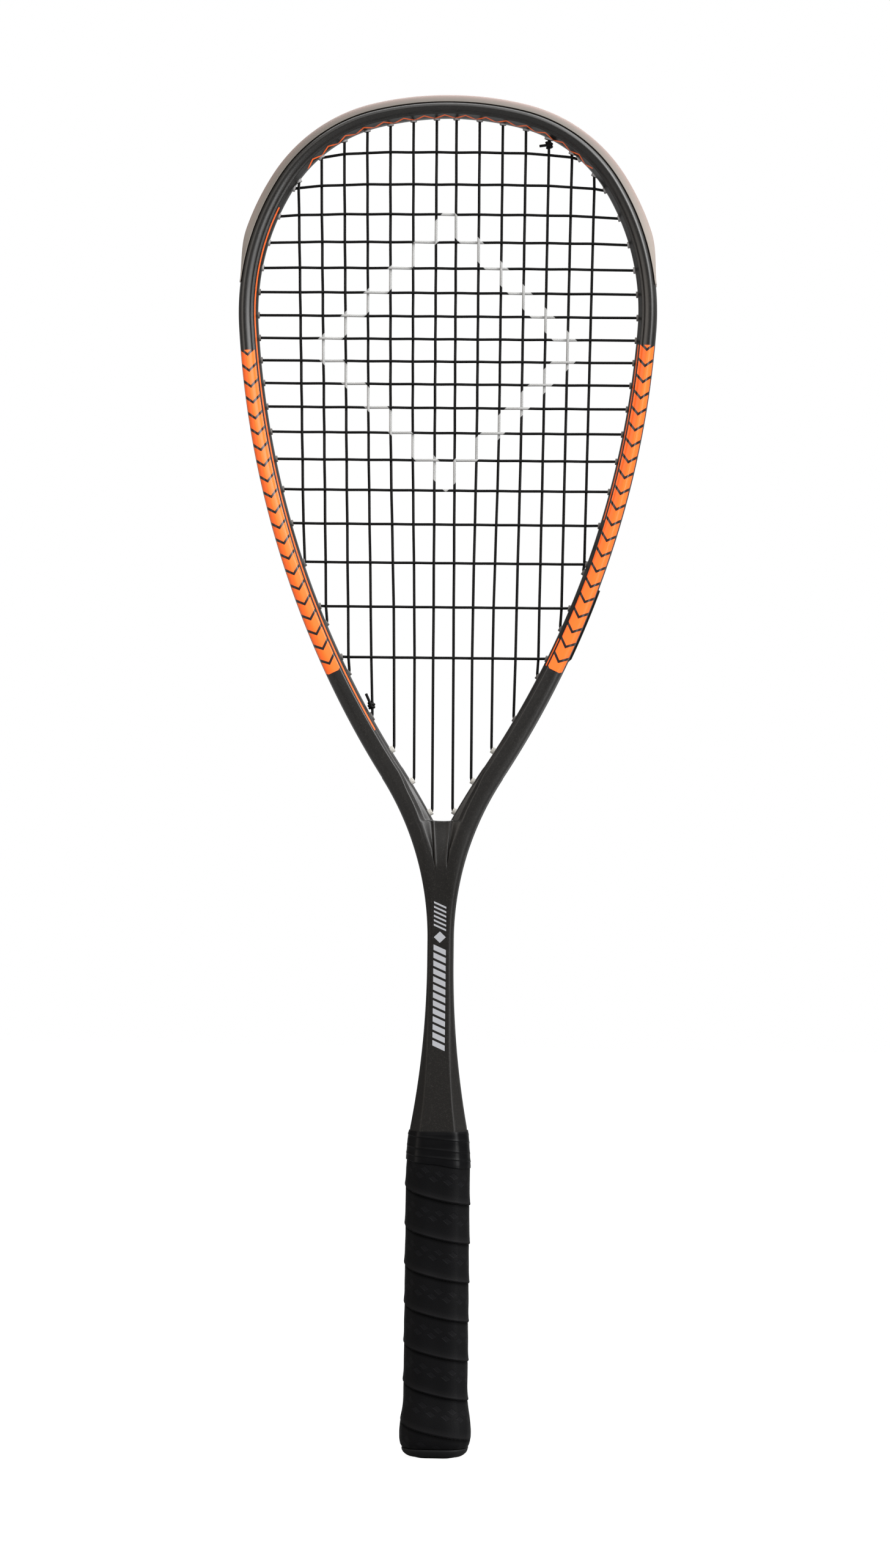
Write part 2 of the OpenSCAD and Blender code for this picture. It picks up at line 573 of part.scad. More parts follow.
// core of the frame inside the handle, grown by a gap
function core_outline(gap) =
    let (a = core_w / 2 + gap, b = core_d / 2 + gap,
         corner = [for (k = [2:6]) [a - SKIN[2][k][0] * a, SKIN[2][k][1] * b]])
    concat(corner, [for (p = rev(corner)) [-p[0], p[1]]],
           [for (p = corner) -p], [for (p = rev(corner)) [p[0], -p[1]]]);
cap_t = 2.4;
cap_top = 26;
staple_z = 17;
staple_w = 9;
staple_t = .6;
staple_h = 1;
staple_leg = 4.9;
staple_lap = .3; // overlap of leg and crown
// crown lying on the cap, two legs into the pallet
module staple(side, gap = 0) {
    x = handle_w / 2 + 1;
    low_z = staple_z - staple_h / 2 - gap;
    height = staple_h + 2 * gap;
    translate([side > 0 ? x : -x - staple_t - gap, -staple_w / 2 - gap, low_z])
        cube([staple_t + gap, staple_w + 2 * gap, height]);
    for (y = [-staple_w / 2, staple_w / 2 - staple_t])
        translate([side > 0 ? x + staple_lap - staple_leg - gap : -x - staple_lap,
                   y - gap, low_z])
            cube([staple_leg + gap, staple_t + 2 * gap, height]);
}
module staple_slots() for (side = [-1, 1]) staple(side, .03);
grip_in = .32; // margins of the grip tape's inner and outer faces
grip_out = grip_in + grip_t - .1;

// ---- nodes ----
module frame() color([.17, .16, .15]) difference() {
    frame_body();
    for (hole = GUARD_HOLES) hole_cut(hole);
    for (side = [-1, 1]) {
        for (hole = strip_holes(side)) hole_cut(hole);
        for (hole = throat_holes(side)) hole_cut(hole);
    }
}
module handle_pallet() color([.55, .53, .48]) difference() {
    oct_bar(cap_t + .2, handle_z - .6 - cap_t - .2, 0);
    translate([0, 0, core_end - .1]) linear_extrude(handle_z) polygon(core_outline(.05));
    staple_slots();
}
module duct_plugs() color([.86, .80, .62])
    for (side = [-1, 1]) translate([side * (core_w / 4 + .1), 0, core_end + .3])
        linear_extrude(22) polygon([for (a = [0:15:345])
            [(core_w / 4 - 1.75) * cos(a), (core_d / 2 - 3.2) * sin(a)]]);
module butt_cap() color([.06, .06, .065]) difference() {
    oct_loft([[cap_top, .8], [20, 1.35], [12.5, 2.2], [7.5, 2], [5, 1],
              [4.95, 2.4], [3, 1.9], [1.6, .5], [.4, -2], [0, -4]]);
    oct_bar(cap_t, cap_top, .05);
    staple_slots();
}
module butt_staples() color([.75, .75, .76]) for (side = [-1, 1]) staple(side);
module grip_underlay() color([.35, .35, .34]) difference() {
    oct_bar(cap_top + .5, handle_z - 3 - cap_top, .3);
    oct_bar(cap_top, handle_z, .02);
}
module grip_tape() color([.05, .05, .05]) oct_sleeve(
    [[5.2, 2.3], [8, 3.3], [12, 3.8], [16, 3.5], [20, 3], [24, 2.2],
     [28, grip_out], [144, grip_out], [158, .9], [161.5, .5]],
    [[5, 1.1], [7.5, 2.05], [12.5, 2.25], [20, 1.4], [26.3, .85],
     [27.5, grip_in], [162.5, grip_in]]);
module finishing_tape() color([.09, .09, .09]) oct_sleeve(
    [[144.5, grip_out + .3], [158, 1.2], [162.5, .8], [164.5, .45]],
    [[144.4, grip_out + .04], [158, .94], [161.6, .54], [164.6, .12]]);
module bumper_guard() color([.78, .72, .71]) guard();
module grommet_strip_left() color([.06, .06, .06]) strip(-1);
module grommet_strip_right() color([.06, .06, .06]) strip(1);
module throat_grommets_left() color([.80, .79, .77])
    for (hole = throat_holes(-1)) throat_grommet(hole);
module throat_grommets_right() color([.80, .79, .77])
    for (hole = throat_holes(1)) throat_grommet(hole);
module main_strings() color([.03, .03, .03]) cord(MAIN_PATH);
module cross_strings() color([.03, .03, .03]) cord(CROSS_PATH);
module tie_off_knot_top() {
    z = entry(top_hole(tie_top_main))[1];
    color([.03, .03, .03])
        knot([main_x(tie_top_main, z - 3.2), z - 4.4], unit([-1, -.12]), 1, 4.6);
}
module tie_off_knot_throat() {
    z = entry(low_hole(tie_low_main))[1];
    color([.03, .03, .03])
        knot([-main_x(tie_low_main, z + 5), z + 4.6], unit([.45, 1]), -1, 7);
}

frame();
handle_pallet();
duct_plugs();
butt_cap();
butt_staples();
grip_underlay();
grip_tape();
finishing_tape();
bumper_guard();
grommet_strip_left();
grommet_strip_right();
throat_grommets_left();
throat_grommets_right();
main_strings();
cross_strings();
tie_off_knot_top();
tie_off_knot_throat();
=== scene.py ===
"""A strung tennis racket standing upright on its butt, in front of a pale studio sheet.

+Z runs up from the butt at 0 to the crown, X across the face (right is positive) and Y through
the depth, with the front facing -Y. Lengths are in mm until add_mesh turns them into metres.
A plan point is (x, z) on the right half; side is -1 for the left half and 1 for the right.
Places on the head are given by s, the distance along its centreline from the crown.
"""
import math
from collections import namedtuple

import bmesh
import bpy
import numpy as np
from mathutils import Matrix, Vector


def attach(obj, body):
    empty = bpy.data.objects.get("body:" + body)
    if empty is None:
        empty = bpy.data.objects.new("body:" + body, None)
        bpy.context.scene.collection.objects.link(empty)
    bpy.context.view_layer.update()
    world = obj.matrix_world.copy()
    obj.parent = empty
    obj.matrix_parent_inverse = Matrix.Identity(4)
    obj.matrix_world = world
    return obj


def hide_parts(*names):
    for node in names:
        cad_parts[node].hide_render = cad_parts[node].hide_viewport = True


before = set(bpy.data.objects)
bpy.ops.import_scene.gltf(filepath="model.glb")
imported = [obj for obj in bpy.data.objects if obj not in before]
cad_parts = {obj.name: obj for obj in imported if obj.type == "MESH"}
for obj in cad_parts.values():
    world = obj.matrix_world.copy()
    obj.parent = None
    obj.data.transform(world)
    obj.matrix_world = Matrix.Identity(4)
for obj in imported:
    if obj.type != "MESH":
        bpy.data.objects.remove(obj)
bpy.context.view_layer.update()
MM = 0.001                # metres in a millimetre
DEGREE = math.pi / 180    # radians in a degree


# ---------------------------------------------------------------- small maths
def lerp(a, b, t):
    return a + (b - a) * t


def ease(t):
    t = np.clip(t, 0.0, 1.0)
    return t * t * (3 - 2 * t)


def unit(vector):
    vector = np.asarray(vector, float)
    return vector / np.linalg.norm(vector)


def bezier(a, b, c, t):
    return (1 - t) ** 2 * a + 2 * t * (1 - t) * b + t * t * c


def find_root(function, low, high):
    """Bisection for the place between low and high where the function changes sign."""
    at_low = function(low)
    for _ in range(40):
        middle = (low + high) / 2
        at_middle = function(middle)
        if at_low * at_middle <= 0:
            high = middle
        else:
            low, at_low = middle, at_middle
    return (low + high) / 2


def smooth_table(x, xs, ys):
    """Smooth monotone interpolation through points given from the lowest x up."""
    xs, ys = np.asarray(xs, float), np.asarray(ys, float)
    x = np.clip(np.asarray(x, float), xs[0], xs[-1])
    slope = np.diff(ys) / np.diff(xs)
    before, after = slope[:-1], slope[1:]
    inner = np.where(after * before > 0, 2 * after * before / (after + before + 1e-12), 0)
    tangent = np.concatenate([slope[:1], inner, slope[-1:]])
    i = np.clip(np.searchsorted(xs, x, side="right") - 1, 0, len(slope) - 1)
    span = xs[i + 1] - xs[i]
    t = (x - xs[i]) / span
    return ((2 * t**3 - 3 * t**2 + 1) * ys[i] + (t**3 - 2 * t**2 + t) * span * tangent[i]
            + (-2 * t**3 + 3 * t**2) * ys[i + 1] + (t**3 - t**2) * span * tangent[i + 1])


# --------------------------------------------------------- driving dimensions
LENGTH, BEAM = 686.0, 20.0
ARC_RADII = [154.2, 74.5, 120.9, 470.4]   # head centreline: crown, shoulder, side, arm
ARC_SPANS = [13.87, 44.06, 35.96]         # degrees turned by all but the arm
WIDTH_S = [0, 150, 300, 440]              # s, and the tube's width in plan there
WIDTHS = [7.8, 9.45, 9.9, 11.3]
BUMPER_T, BUMPER_END = 3.5, 149.0         # thickness, and s of both ends
GROOVE_DEPTH, GROOVE_HALF = 2.6, 2.1
SHAFT_W, SHAFT_D = 12.9, 19.0
FLANK_R, TAPER_R, TAPER_Z = 150.0, 466.0, 250.0
HANDLE_W, HANDLE_D, HANDLE_Z = 28.6, 25.4, 163.0
FOOT_HALF, FOOT_Z = 4.6, 320.3            # where the throat's inner edges meet
NECK_Z, NECK_LOW_Z = 320, 270             # the beam thins to the shaft's depth between these
DEPTH_TAPER_Z = TAPER_Z - 20
STRING_D = 1.3
BARREL_OD, BARREL_ID = 3.4, 2.0
half_beam = BEAM / 2


# --------------------------------------------------------- the frame's outline
def plan_direction(angle):
    """Unit plan vector turned this many degrees from straight up."""
    return np.array([math.sin(angle * DEGREE), math.cos(angle * DEGREE)])


arc_headings = np.cumsum([0, *ARC_SPANS])
arc_starts = np.cumsum([0, *(r * a * DEGREE for r, a in zip(ARC_RADII, ARC_SPANS))])
arc_centres = [np.array([0.0, LENGTH - BUMPER_T - WIDTHS[0] / 2 - ARC_RADII[0]])]
for arc in (1, 2, 3):
    arc_centres.append(arc_centres[-1] + (ARC_RADII[arc - 1] - ARC_RADII[arc])
                       * plan_direction(arc_headings[arc]))


def arc_index(s):
    return sum(int(s >= start) for start in arc_starts[1:])


def outward(s):
    i = arc_index(s)
    return plan_direction(arc_headings[i] + (s - arc_starts[i]) / ARC_RADII[i] / DEGREE)


def tube_width(s):
    return float(np.interp(s, WIDTH_S, WIDTHS))


def beside_centreline(s, share):
    i = arc_index(s)
    return arc_centres[i] + ARC_RADII[i] * outward(s) + outward(s) * tube_width(s) * share


def outer_edge(s):
    return beside_centreline(s, .5)


def inner_edge(s):
    return beside_centreline(s, -.5)


# The flank is a hollow arc that touches the arm's outer edge and the side of the shaft.
arm_outer_r, arm_inner_r = ARC_RADII[3] + WIDTHS[-1] / 2, ARC_RADII[3] - WIDTHS[-1] / 2
flank_centre_x = SHAFT_W / 2 + FLANK_R
flank_centre = np.array([flank_centre_x, arc_centres[3][1] - math.sqrt(
    (arm_outer_r + FLANK_R) ** 2 - (flank_centre_x - arc_centres[3][0]) ** 2)])
throat_heading = math.atan2(*(flank_centre - arc_centres[3])) / DEGREE
throat_s = arc_starts[3] + (throat_heading - arc_headings[3]) * ARC_RADII[3] * DEGREE
flank_start = arc_centres[3] + arm_outer_r * plan_direction(throat_heading)
search_end = throat_s + 30          # how far along the arm holes are looked for

# control points of the inner edge below the arms
THROAT_REACH = 18.1
throat_a = arc_centres[3] + arm_inner_r * plan_direction(throat_heading)
throat_b = throat_a + THROAT_REACH * np.array([math.cos(throat_heading * DEGREE),
                                               -math.sin(throat_heading * DEGREE)])
throat_c = np.array([FOOT_HALF, FOOT_Z + .3])


def throat_inner(t):
    return bezier(throat_a, throat_b, throat_c, t)


def throat_outward(t):
    run = unit((1 - t) * (throat_b - throat_a) + t * (throat_c - throat_b))
    return np.array([-run[1], run[0]])


def flank_x(z):
    if z >= flank_centre[1]:
        return flank_centre[0] - math.sqrt(FLANK_R**2 - (z - flank_centre[1]) ** 2)
    if z > TAPER_Z:
        return SHAFT_W / 2
    return min(HANDLE_W / 2, SHAFT_W / 2 + TAPER_R - math.sqrt(TAPER_R**2 - (TAPER_Z - z) ** 2))


def half_depth(z):
    if z > NECK_Z:
        return half_beam
    if z > NECK_LOW_Z:
        return float(lerp(SHAFT_D / 2, half_beam, ease((z - NECK_LOW_Z) / (NECK_Z - NECK_LOW_Z))))
    if z > DEPTH_TAPER_Z:
        return SHAFT_D / 2
    return float(lerp(HANDLE_D / 2, SHAFT_D / 2, ease((z - HANDLE_Z) / (DEPTH_TAPER_Z - HANDLE_Z))))


def s_at_height(z):
    return find_root(lambda s: outer_edge(s)[1] - z, 0, throat_s)


# --------------------------------------------------------------- mesh helpers
def add_mesh(name, verts, faces, attrs=None):
    mesh = bpy.data.meshes.new(name)
    mesh.from_pydata((np.asarray(verts, float) * MM).tolist(), [],
                     [list(map(int, face)) for face in faces])
    for key, values in (attrs or {}).items():
        attribute = mesh.attributes.new(key, "FLOAT", "POINT")
        attribute.data.foreach_set("value", np.asarray(values, np.float32))
    mesh.validate()
    mesh.polygons.foreach_set("use_smooth", [True] * len(mesh.polygons))
    mesh.update()
    ob = bpy.data.objects.new(name, mesh)
    bpy.context.scene.collection.objects.link(ob)
    return ob


class Shells:
    """Collects closed shells into one mesh. Its attributes are 0 where a shell gives none."""

    def __init__(self, *keys):
        self.verts, self.faces, self.count = [], [], 0
        self.attrs = {key: [] for key in keys}

    def add(self, verts, faces, **attrs):
        self.verts.append(verts)
        self.faces += [[i + self.count for i in face] for face in faces]
        self.count += len(verts)
        for key, parts in self.attrs.items():
            parts.append(np.full(len(verts), attrs.get(key, 0.0), float))

    def make(self, name):
        attrs = {key: np.concatenate(parts) for key, parts in self.attrs.items()}
        return add_mesh(name, np.concatenate(self.verts), self.faces, attrs)


def face_outward(verts, faces):
    """The faces, all turned over if the shell they close has a negative volume."""
    volume = 0.0
    for size in sorted({len(face) for face in faces}):
        group = np.array([face for face in faces if len(face) == size], int)
        for i in range(1, size - 1):
            cross = np.cross(verts[group[:, i]], verts[group[:, i + 1]])
            volume += float(np.einsum("ij,ij->", verts[group[:, 0]], cross))
    return [face[::-1] for face in faces] if volume < 0 else faces


def shell(rings, closed=False):
    """Closed shell through rings of equal size. Either the last ring joins the first (closed),
    or both ends are fans about a centre point."""
    rings = np.asarray(rings, float)
    count, size, _ = rings.shape
    verts = rings.reshape(-1, 3)
    faces = []
    for i in range(count if closed else count - 1):
        j = (i + 1) % count
        for r in range(size):
            q = (r + 1) % size
            faces.append([i * size + r, i * size + q, j * size + q, j * size + r])
    if not closed:
        verts = np.vstack([verts, rings[0].mean(0), rings[-1].mean(0)])
        first, last, end = count * size, count * size + 1, (count - 1) * size
        faces += [[first, (r + 1) % size, r] for r in range(size)]
        faces += [[last, end + r, end + (r + 1) % size] for r in range(size)]
    return verts, face_outward(verts, faces)


def path_lengths(path):
    steps = np.linalg.norm(np.diff(path, axis=0), axis=1)
    return np.concatenate([[0], np.cumsum(steps)])


CORD_R, CORD_SIDES = STRING_D / 2 + .05, 12


def add_cord(shells, path):
    """Closed round cord along a path, with rounded ends. Its attributes are the length along it
    and the angle round it."""
    path = np.asarray(path, float)
    tangent = np.gradient(path, axis=0)
    tangent = tangent / np.linalg.norm(tangent, axis=1, keepdims=True)
    # two normals that turn as little as possible
    normal = np.zeros_like(tangent)
    normal[0] = unit(np.cross(tangent[0], [0, 1, 0.0]))
    for i in range(1, len(path)):
        normal[i] = unit(normal[i - 1] - tangent[i] * np.dot(normal[i - 1], tangent[i]))
    binormal = np.cross(tangent, normal)
    angle = np.arange(CORD_SIDES) * 2 * math.pi / CORD_SIDES
    rings = path[:, None] + CORD_R * (np.cos(angle)[None, :, None] * normal[:, None]
                                      + np.sin(angle)[None, :, None] * binormal[:, None])
    first = path[0] + (rings[0] - path[0]) * 0.72 - tangent[0] * CORD_R * 0.22
    last = path[-1] + (rings[-1] - path[-1]) * 0.72 + tangent[-1] * CORD_R * 0.22
    rings = np.concatenate([[first], rings, [last]])
    length = path_lengths(path)
    length = np.concatenate([[0], length, [length[-1]]])
    shells.add(*shell(rings),
               along=np.concatenate([np.repeat(length, CORD_SIDES), [length[0], length[-1]]]),
               round=np.concatenate([np.tile(angle, len(rings)), [0, 0]]))


def resample(path, step):
    path = np.asarray(path, float)
    length = path_lengths(path)
    x = np.linspace(0, length[-1], int(round(length[-1] / step)) + 1)
    return np.stack([np.interp(x, length, path[:, i]) for i in range(3)], 1)


def round_open(points, shares, samples):
    """Corner-cut curves through control polygons (..., corner, 2). shares (..., corner) says how
    far each corner's curve reaches towards the middles of its two sides."""
    middles = (points[..., :-1, :] + points[..., 1:, :]) / 2
    out = [points[..., 0:1, :]]
    for i in range(1, points.shape[-2] - 1):
        corner, share = points[..., i, :], shares[..., i:i + 1]
        start = corner + (middles[..., i - 1, :] - corner) * share
        end = corner + (middles[..., i, :] - corner) * share
        for t in np.linspace(0, 1, samples[i]):
            out.append(bezier(start, corner, end, t)[..., None, :])
    out.append(points[..., -1:, :])
    return np.concatenate(out, axis=-2)


def round_closed(points, shares, samples):
    """Corner-cut closed curve, without repeated points."""
    points = np.asarray(points, float)
    out = []
    for i, corner in enumerate(points):
        following = points[(i + 1) % len(points)]
        start = corner + ((points[i - 1] + corner) / 2 - corner) * shares[i]
        end = corner + ((corner + following) / 2 - corner) * shares[i]
        for t in np.linspace(0, 1, samples):
            point = bezier(start, corner, end, t)
            if not out or np.linalg.norm(out[-1] - point) > 1e-4:
                out.append(point)
    if np.linalg.norm(out[0] - out[-1]) < 1e-4:
        out.pop()
    return np.array(out)


# ---------------------------------------------------------- frame cross-sections
# Corners of half a section: share of the way from the outer to the inner edge, share of the half
# depth. 0-2 string groove, 3-7 face, 8-9 crest, 10-12 inner slope, or the throat's scoop and its
# ridge, 13-14 inner wall.
HEAD = np.array([
    [0, 0], [0, 0], [0, .25], [0, .45], [.03, .68], [.12, .885], [.31, 1.035], [.475, .985],
    [.63, .875], [.695, .77], [.795, .735], [.89, .49], [1, .25], [1, .12], [1, 0]])
ARM = np.array([
    [0, 0], [0, 0], [0, .31], [0, .57], [.035, .80], [.13, .945], [.34, 1.01], [.60, .995],
    [.80, .985], [.835, .925], [.88, .785], [.925, .745], [.975, .665], [1, .50], [1, 0]])
SHAFT = np.array([
    [0, 0], [0, 0], [0, .35], [0, .60], [.03, .80], [.14, .95], [.34, 1.005], [.5, 1.0],
    [.62, 1], [.7, 1], [.8, 1], [.86, 1], [.92, 1], [1, 1], [1, 0]])
GRIP = np.array([
    [0, 0], [0, 0], [0, .3], [0, .44], [.13, .63], [.26, .82], [.39, 1], [.5, 1],
    [.6, 1], [.7, 1], [.8, 1], [.86, 1], [.92, 1], [1, 1], [1, 0]])
# how far each corner is rounded off, and how many samples its curve has
SHARE_HEAD = np.array([0, .35, .3, .9, 1, 1, 1, 1, .6, .6, .45, 1, .9, .5, 0])
SHARE_ARM = np.array([0, .35, .3, .9, 1, 1, 1, 1, .7, .8, .6, .7, .8, .6, 0])
SHARE_THROAT = np.array([0, .35, .3, .9, 1, 1, 1, .9, .8, .8, .7, .75, .75, .35, 0])
SAMPLES = [0, 3, 3, 4, 4, 4, 4, 4, 5, 5, 4, 5, 5, 3, 0]
WALL = 13                                   # the inner wall's corner
wall_start = 1 + sum(SAMPLES[1:WALL])       # its first sample
wall_end = wall_start + SAMPLES[WALL] - 1   # its last sample

# A station is one section across the frame. arm, shaft, grip and throat weigh the section shapes,
# groove scales the string groove, along is the distance from the crown.
Station = namedtuple("Station", "outer inner half_depth arm shaft grip groove throat along")


def low_station(outer_x, outer_z, inner, half, shaft=1, grip=0, groove=0, throat=1):
    """A station below the arms."""
    return Station(np.array([outer_x, outer_z]), inner, half, 1, shaft, grip, groove, throat,
                   throat_s + flank_start[1] - outer_z)


def seam_z(q):
    """Height of the centre-plane end of the stations from the foot (q 0) down to the shaft."""
    return FOOT_Z - 29.4 * q - 22.05 * q * q


HEAD_STATIONS, THROAT_STATIONS, SEAM_STATIONS = 268, 34, 62
ARM_BLEND_S = arc_starts[3] + 40
FOOT_DROP = 6.0           # the outer end of a station at the foot lies this much lower
FOOT_SHARE = 4 / 6        # share of the throat's stations above the foot's own curve

stations = []
for s in np.linspace(0, throat_s, HEAD_STATIONS):
    arm = ease((s - ARM_BLEND_S) / (throat_s - ARM_BLEND_S))
    stations.append(Station(outer_edge(s), inner_edge(s), half_beam, arm, 0, 0, 1, 0, s))
for i in range(1, THROAT_STATIONS + 1):
    q = i / THROAT_STATIONS
    z = lerp(flank_start[1], FOOT_Z - FOOT_DROP, q)
    if q <= FOOT_SHARE:
        inner = throat_inner(q * 1.5)
    else:
        inner = bezier(throat_c, np.array([FOOT_HALF - 1.0, FOOT_Z]), np.array([0, FOOT_Z]),
                       (q - FOOT_SHARE) * 3)
    stations.append(low_station(flank_x(z), z, inner, half_beam, shaft=0, groove=1,
                                throat=ease(q / .30)))
foot_station = len(stations) - 1
for i in range(1, SEAM_STATIONS + 1):
    q = i / SEAM_STATIONS
    inner_z = seam_z(q)
    z = inner_z - FOOT_DROP * (1 - q) ** 1.4
    stations.append(low_station(flank_x(z), z, np.array([0, inner_z]), half_depth(inner_z),
                                shaft=ease(q * 7 / 5 - .12), groove=1 - ease(q * 3.2)))
for z in np.linspace(seam_z(1), TAPER_Z, 10)[1:]:
    stations.append(low_station(flank_x(z), z, np.array([0, z]), half_depth(z)))
for q in np.linspace(0, 1, 44)[1:]:
    z = lerp(TAPER_Z, HANDLE_Z + 1, q)
    stations.append(low_station(flank_x(z), z, np.array([0, z]), half_depth(z),
                                grip=ease((q * 7 - 1) / 5)))
# the step at the top of the handle and the core inside it: half width, half depth, z, grip
for half_width, half, z, grip in ((HANDLE_W / 2, HANDLE_D / 2, HANDLE_Z, 1),
                                  (10.5, 8.5, HANDLE_Z - .5, 0), (10.5, 8.5, 6.0, 0)):
    stations.append(low_station(half_width, z, np.array([0, z]), half, grip=grip))


# The throat: crest lines run together, a low panel lies between two small ridges.
def crest_x(z):
    return smooth_table(z, [280, 296, 301, 305, 312, 319, 326.1, 331.8, 341.5, 350],
                        [2.2, 2.5, 3.3, 4.9, 7.5, 10.0, 12.6, 15.2, 20.4, 25.2])


def ridge_x(z):
    return smooth_table(z, [290, 297, 301, 319, 330], [2.2, 2.3, 2.55, 3.85, 4.7])


def scoop_depth(z):
    """The scoop's bottom, as a share of the half depth."""
    return float(smooth_table(z, [286, 295.5, 298, 300, 305, 312, 320, 330],
                              [1, 1, .955, .905, .83, .72, .60, .56]))


def panel_depth(z):
    """The panel between the ridges, as a share of the half depth."""
    return float(smooth_table(z, [286, 296, 299, 302, 306, 320, 330],
                              [1, 1, .98, .945, .885, .645, .60]))


# the ledge above the foot, by corner: share of the way from crest to inner edge, depth share
LEDGE = {9: (.13, .925), 10: (.42, .74), 11: (.62, .695), 12: (.90, .62), 13: (1.0, .50)}


def throat_section(st):
    outer, inner = st.outer, st.inner

    def line_at(line, shift=0.0):
        """Share along this station at which x equals line(z) + shift, and z there."""
        share = .6
        for _ in range(12):
            z = outer[1] + (inner[1] - outer[1]) * share
            share = (outer[0] - float(line(z)) - shift) / max(outer[0] - inner[0], 1e-6)
            share = min(max(share, 0.05), 1.0)
        return share, outer[1] + (inner[1] - outer[1]) * share

    crest, crest_z = line_at(crest_x, .35)
    ridge, ridge_z = line_at(ridge_x)
    scoop, ridge_out, ridge_in = (line_at(ridge_x, shift)[0] for shift in (1.25, .25, -.65))
    crest_step = 1.25 / np.linalg.norm(inner - outer)
    crest_v = float(lerp(.985, 1.0, ease((300 - crest_z) / 6)))
    scoop_v, panel_v = scoop_depth(ridge_z), panel_depth(ridge_z)
    flat = float(ease((299.5 - ridge_z) / 4))       # 1 where ridges and scoop have run out
    keep = ease((crest_z - 284) / 10)               # 0 where the plain section takes over
    base = lerp(lerp(ARM, SHAFT, st.shaft), GRIP, st.grip)
    section = base.copy()
    corners = {
        7: (crest * .86, lerp(.99, 1, st.shaft)),
        8: (crest, crest_v),
        9: (min(crest + crest_step, scoop - .004), lerp(crest_v - .045, crest_v, flat)),
        10: (scoop, scoop_v),
        11: (ridge_out, max(panel_v + .055 * (1 - flat), scoop_v)),
        12: (ridge_in, panel_v),
        13: (1, panel_v),
    }
    for corner, point in corners.items():
        section[corner] = lerp(base[corner], np.array(point), keep)
    # above the foot there is no ridge: the inner slope ends in a narrow ledge, as along the hoop
    ledge = float(1 - ease((1 - ridge) / .05)) * float(keep)
    for corner, (across, depth) in LEDGE.items():
        point = np.array([crest + across * (1 - crest), depth])
        section[corner] = lerp(section[corner], point, ledge)
    # keep the face's points in order when the crest moves
    section[4:7, 0] *= lerp(1.0, min(1.0, crest * .78 / base[6, 0]), keep)
    return section


def column(name):
    return np.array([getattr(st, name) for st in stations], float)


outers, inners, half_depths = column("outer"), column("inner"), column("half_depth")
widths = np.linalg.norm(inners - outers, axis=1)


def section_curves():
    """Half sections as stations x samples x (share across, share of the half depth)."""
    arm, throat, groove = column("arm"), column("throat"), column("groove")
    corners = lerp(HEAD, ARM, arm[:, None, None])
    scooped = corners.copy()
    for k, st in enumerate(stations):
        if st.throat > 0:
            scooped[k] = throat_section(st)
    corners = lerp(corners, scooped, throat[:, None, None])
    corners[:, :2, 0] = (GROOVE_DEPTH * groove / widths)[:, None]
    corners[:, 1, 1] = lerp(.15, GROOVE_HALF / half_depths, groove)
    shares = lerp(lerp(SHARE_HEAD, SHARE_ARM, arm[:, None]), SHARE_THROAT, throat[:, None])
    # the corner closes where the two halves meet on the centre plane
    seal = ease((np.arange(len(stations)) - foot_station + 9) / 9)
    shares[:, WALL] = lerp(shares[:, WALL], .02, seal)
    curves = round_open(corners, shares, SAMPLES)
    curves[foot_station:, wall_start:wall_end + 1] = corners[foot_station:, WALL:WALL + 1]
    return curves


def frame_skin():
    """Vertices, faces and attributes of the whole frame. The attributes are arc (distance from
    the crown, negative on the left), frac (share across the tube) and acr (mm across it)."""
    curves = section_curves()
    across = curves[:, :, 0]
    plan = outers[:, None] + (inners - outers)[:, None] * across[..., None]
    depth = -curves[:, :, 1] * half_depths[:, None]
    halves = []
    for side in (1, -1):
        front = np.stack([side * plan[..., 0], depth, plan[..., 1]], -1)
        halves.append(np.concatenate([front, front[:, -2:0:-1] * [1, -1, 1]], 1))
    count, size = halves[0].shape[:2]
    verts = np.concatenate([half.reshape(-1, 3) for half in halves])
    verts[np.abs(verts[:, 0]) < 1e-7, 0] = 0
    across = np.concatenate([across, across[:, -2:0:-1]], 1)
    along = np.repeat(column("along"), size)
    attrs = {"arc": np.concatenate([along, -along]),
             "frac": np.tile(across.reshape(-1), 2),
             "acr": np.tile((across * widths[:, None]).reshape(-1), 2)}

    faces = []
    for half in (0, 1):
        for i in range(count - 1):
            row = (half * count + i) * size
            for r in range(size):
                # below the foot the halves meet on the centre plane: no inner wall
                if i >= foot_station and wall_end <= r < size - wall_end:
                    continue
                q = (r + 1) % size
                quad = [row + r, row + q, row + size + q, row + size + r]
                faces.append([quad[0], *quad[:0:-1]] if half else quad)

    # merge the halves where they touch the centre plane
    first_at = {}
    remap = np.arange(len(verts))
    for j in np.where(np.abs(verts[:, 0]) < 1e-6)[0]:
        place_key = (round(verts[j, 1], 4), round(verts[j, 2], 4))
        remap[j] = first_at.setdefault(place_key, j)
    merged = []
    for face in faces:
        face = [int(remap[j]) for j in face]
        face = [face[j] for j in range(len(face)) if face[j] != face[j - 1]]
        if len(set(face)) >= 3:
            merged.append(face)

    # one cap over both halves at the bottom, each half running from back to front
    order = [*range(size - wall_end, size), *range(wall_end + 1)]
    right, left = ([int(remap[end + r]) for r in order]
                   for end in ((count - 1) * size, (2 * count - 1) * size))
    cap = []
    for j in right + left[::-1]:
        if not cap or cap[-1] != j:
            cap.append(j)
    if cap[0] == cap[-1]:
        cap.pop()
    merged.append(cap)

    used = sorted({j for face in merged for j in face})
    new_index = {old: new for new, old in enumerate(used)}
    merged = [[new_index[j] for j in face] for face in merged]
    verts = verts[used]
    return verts, face_outward(verts, merged), {key: val[used] for key, val in attrs.items()}


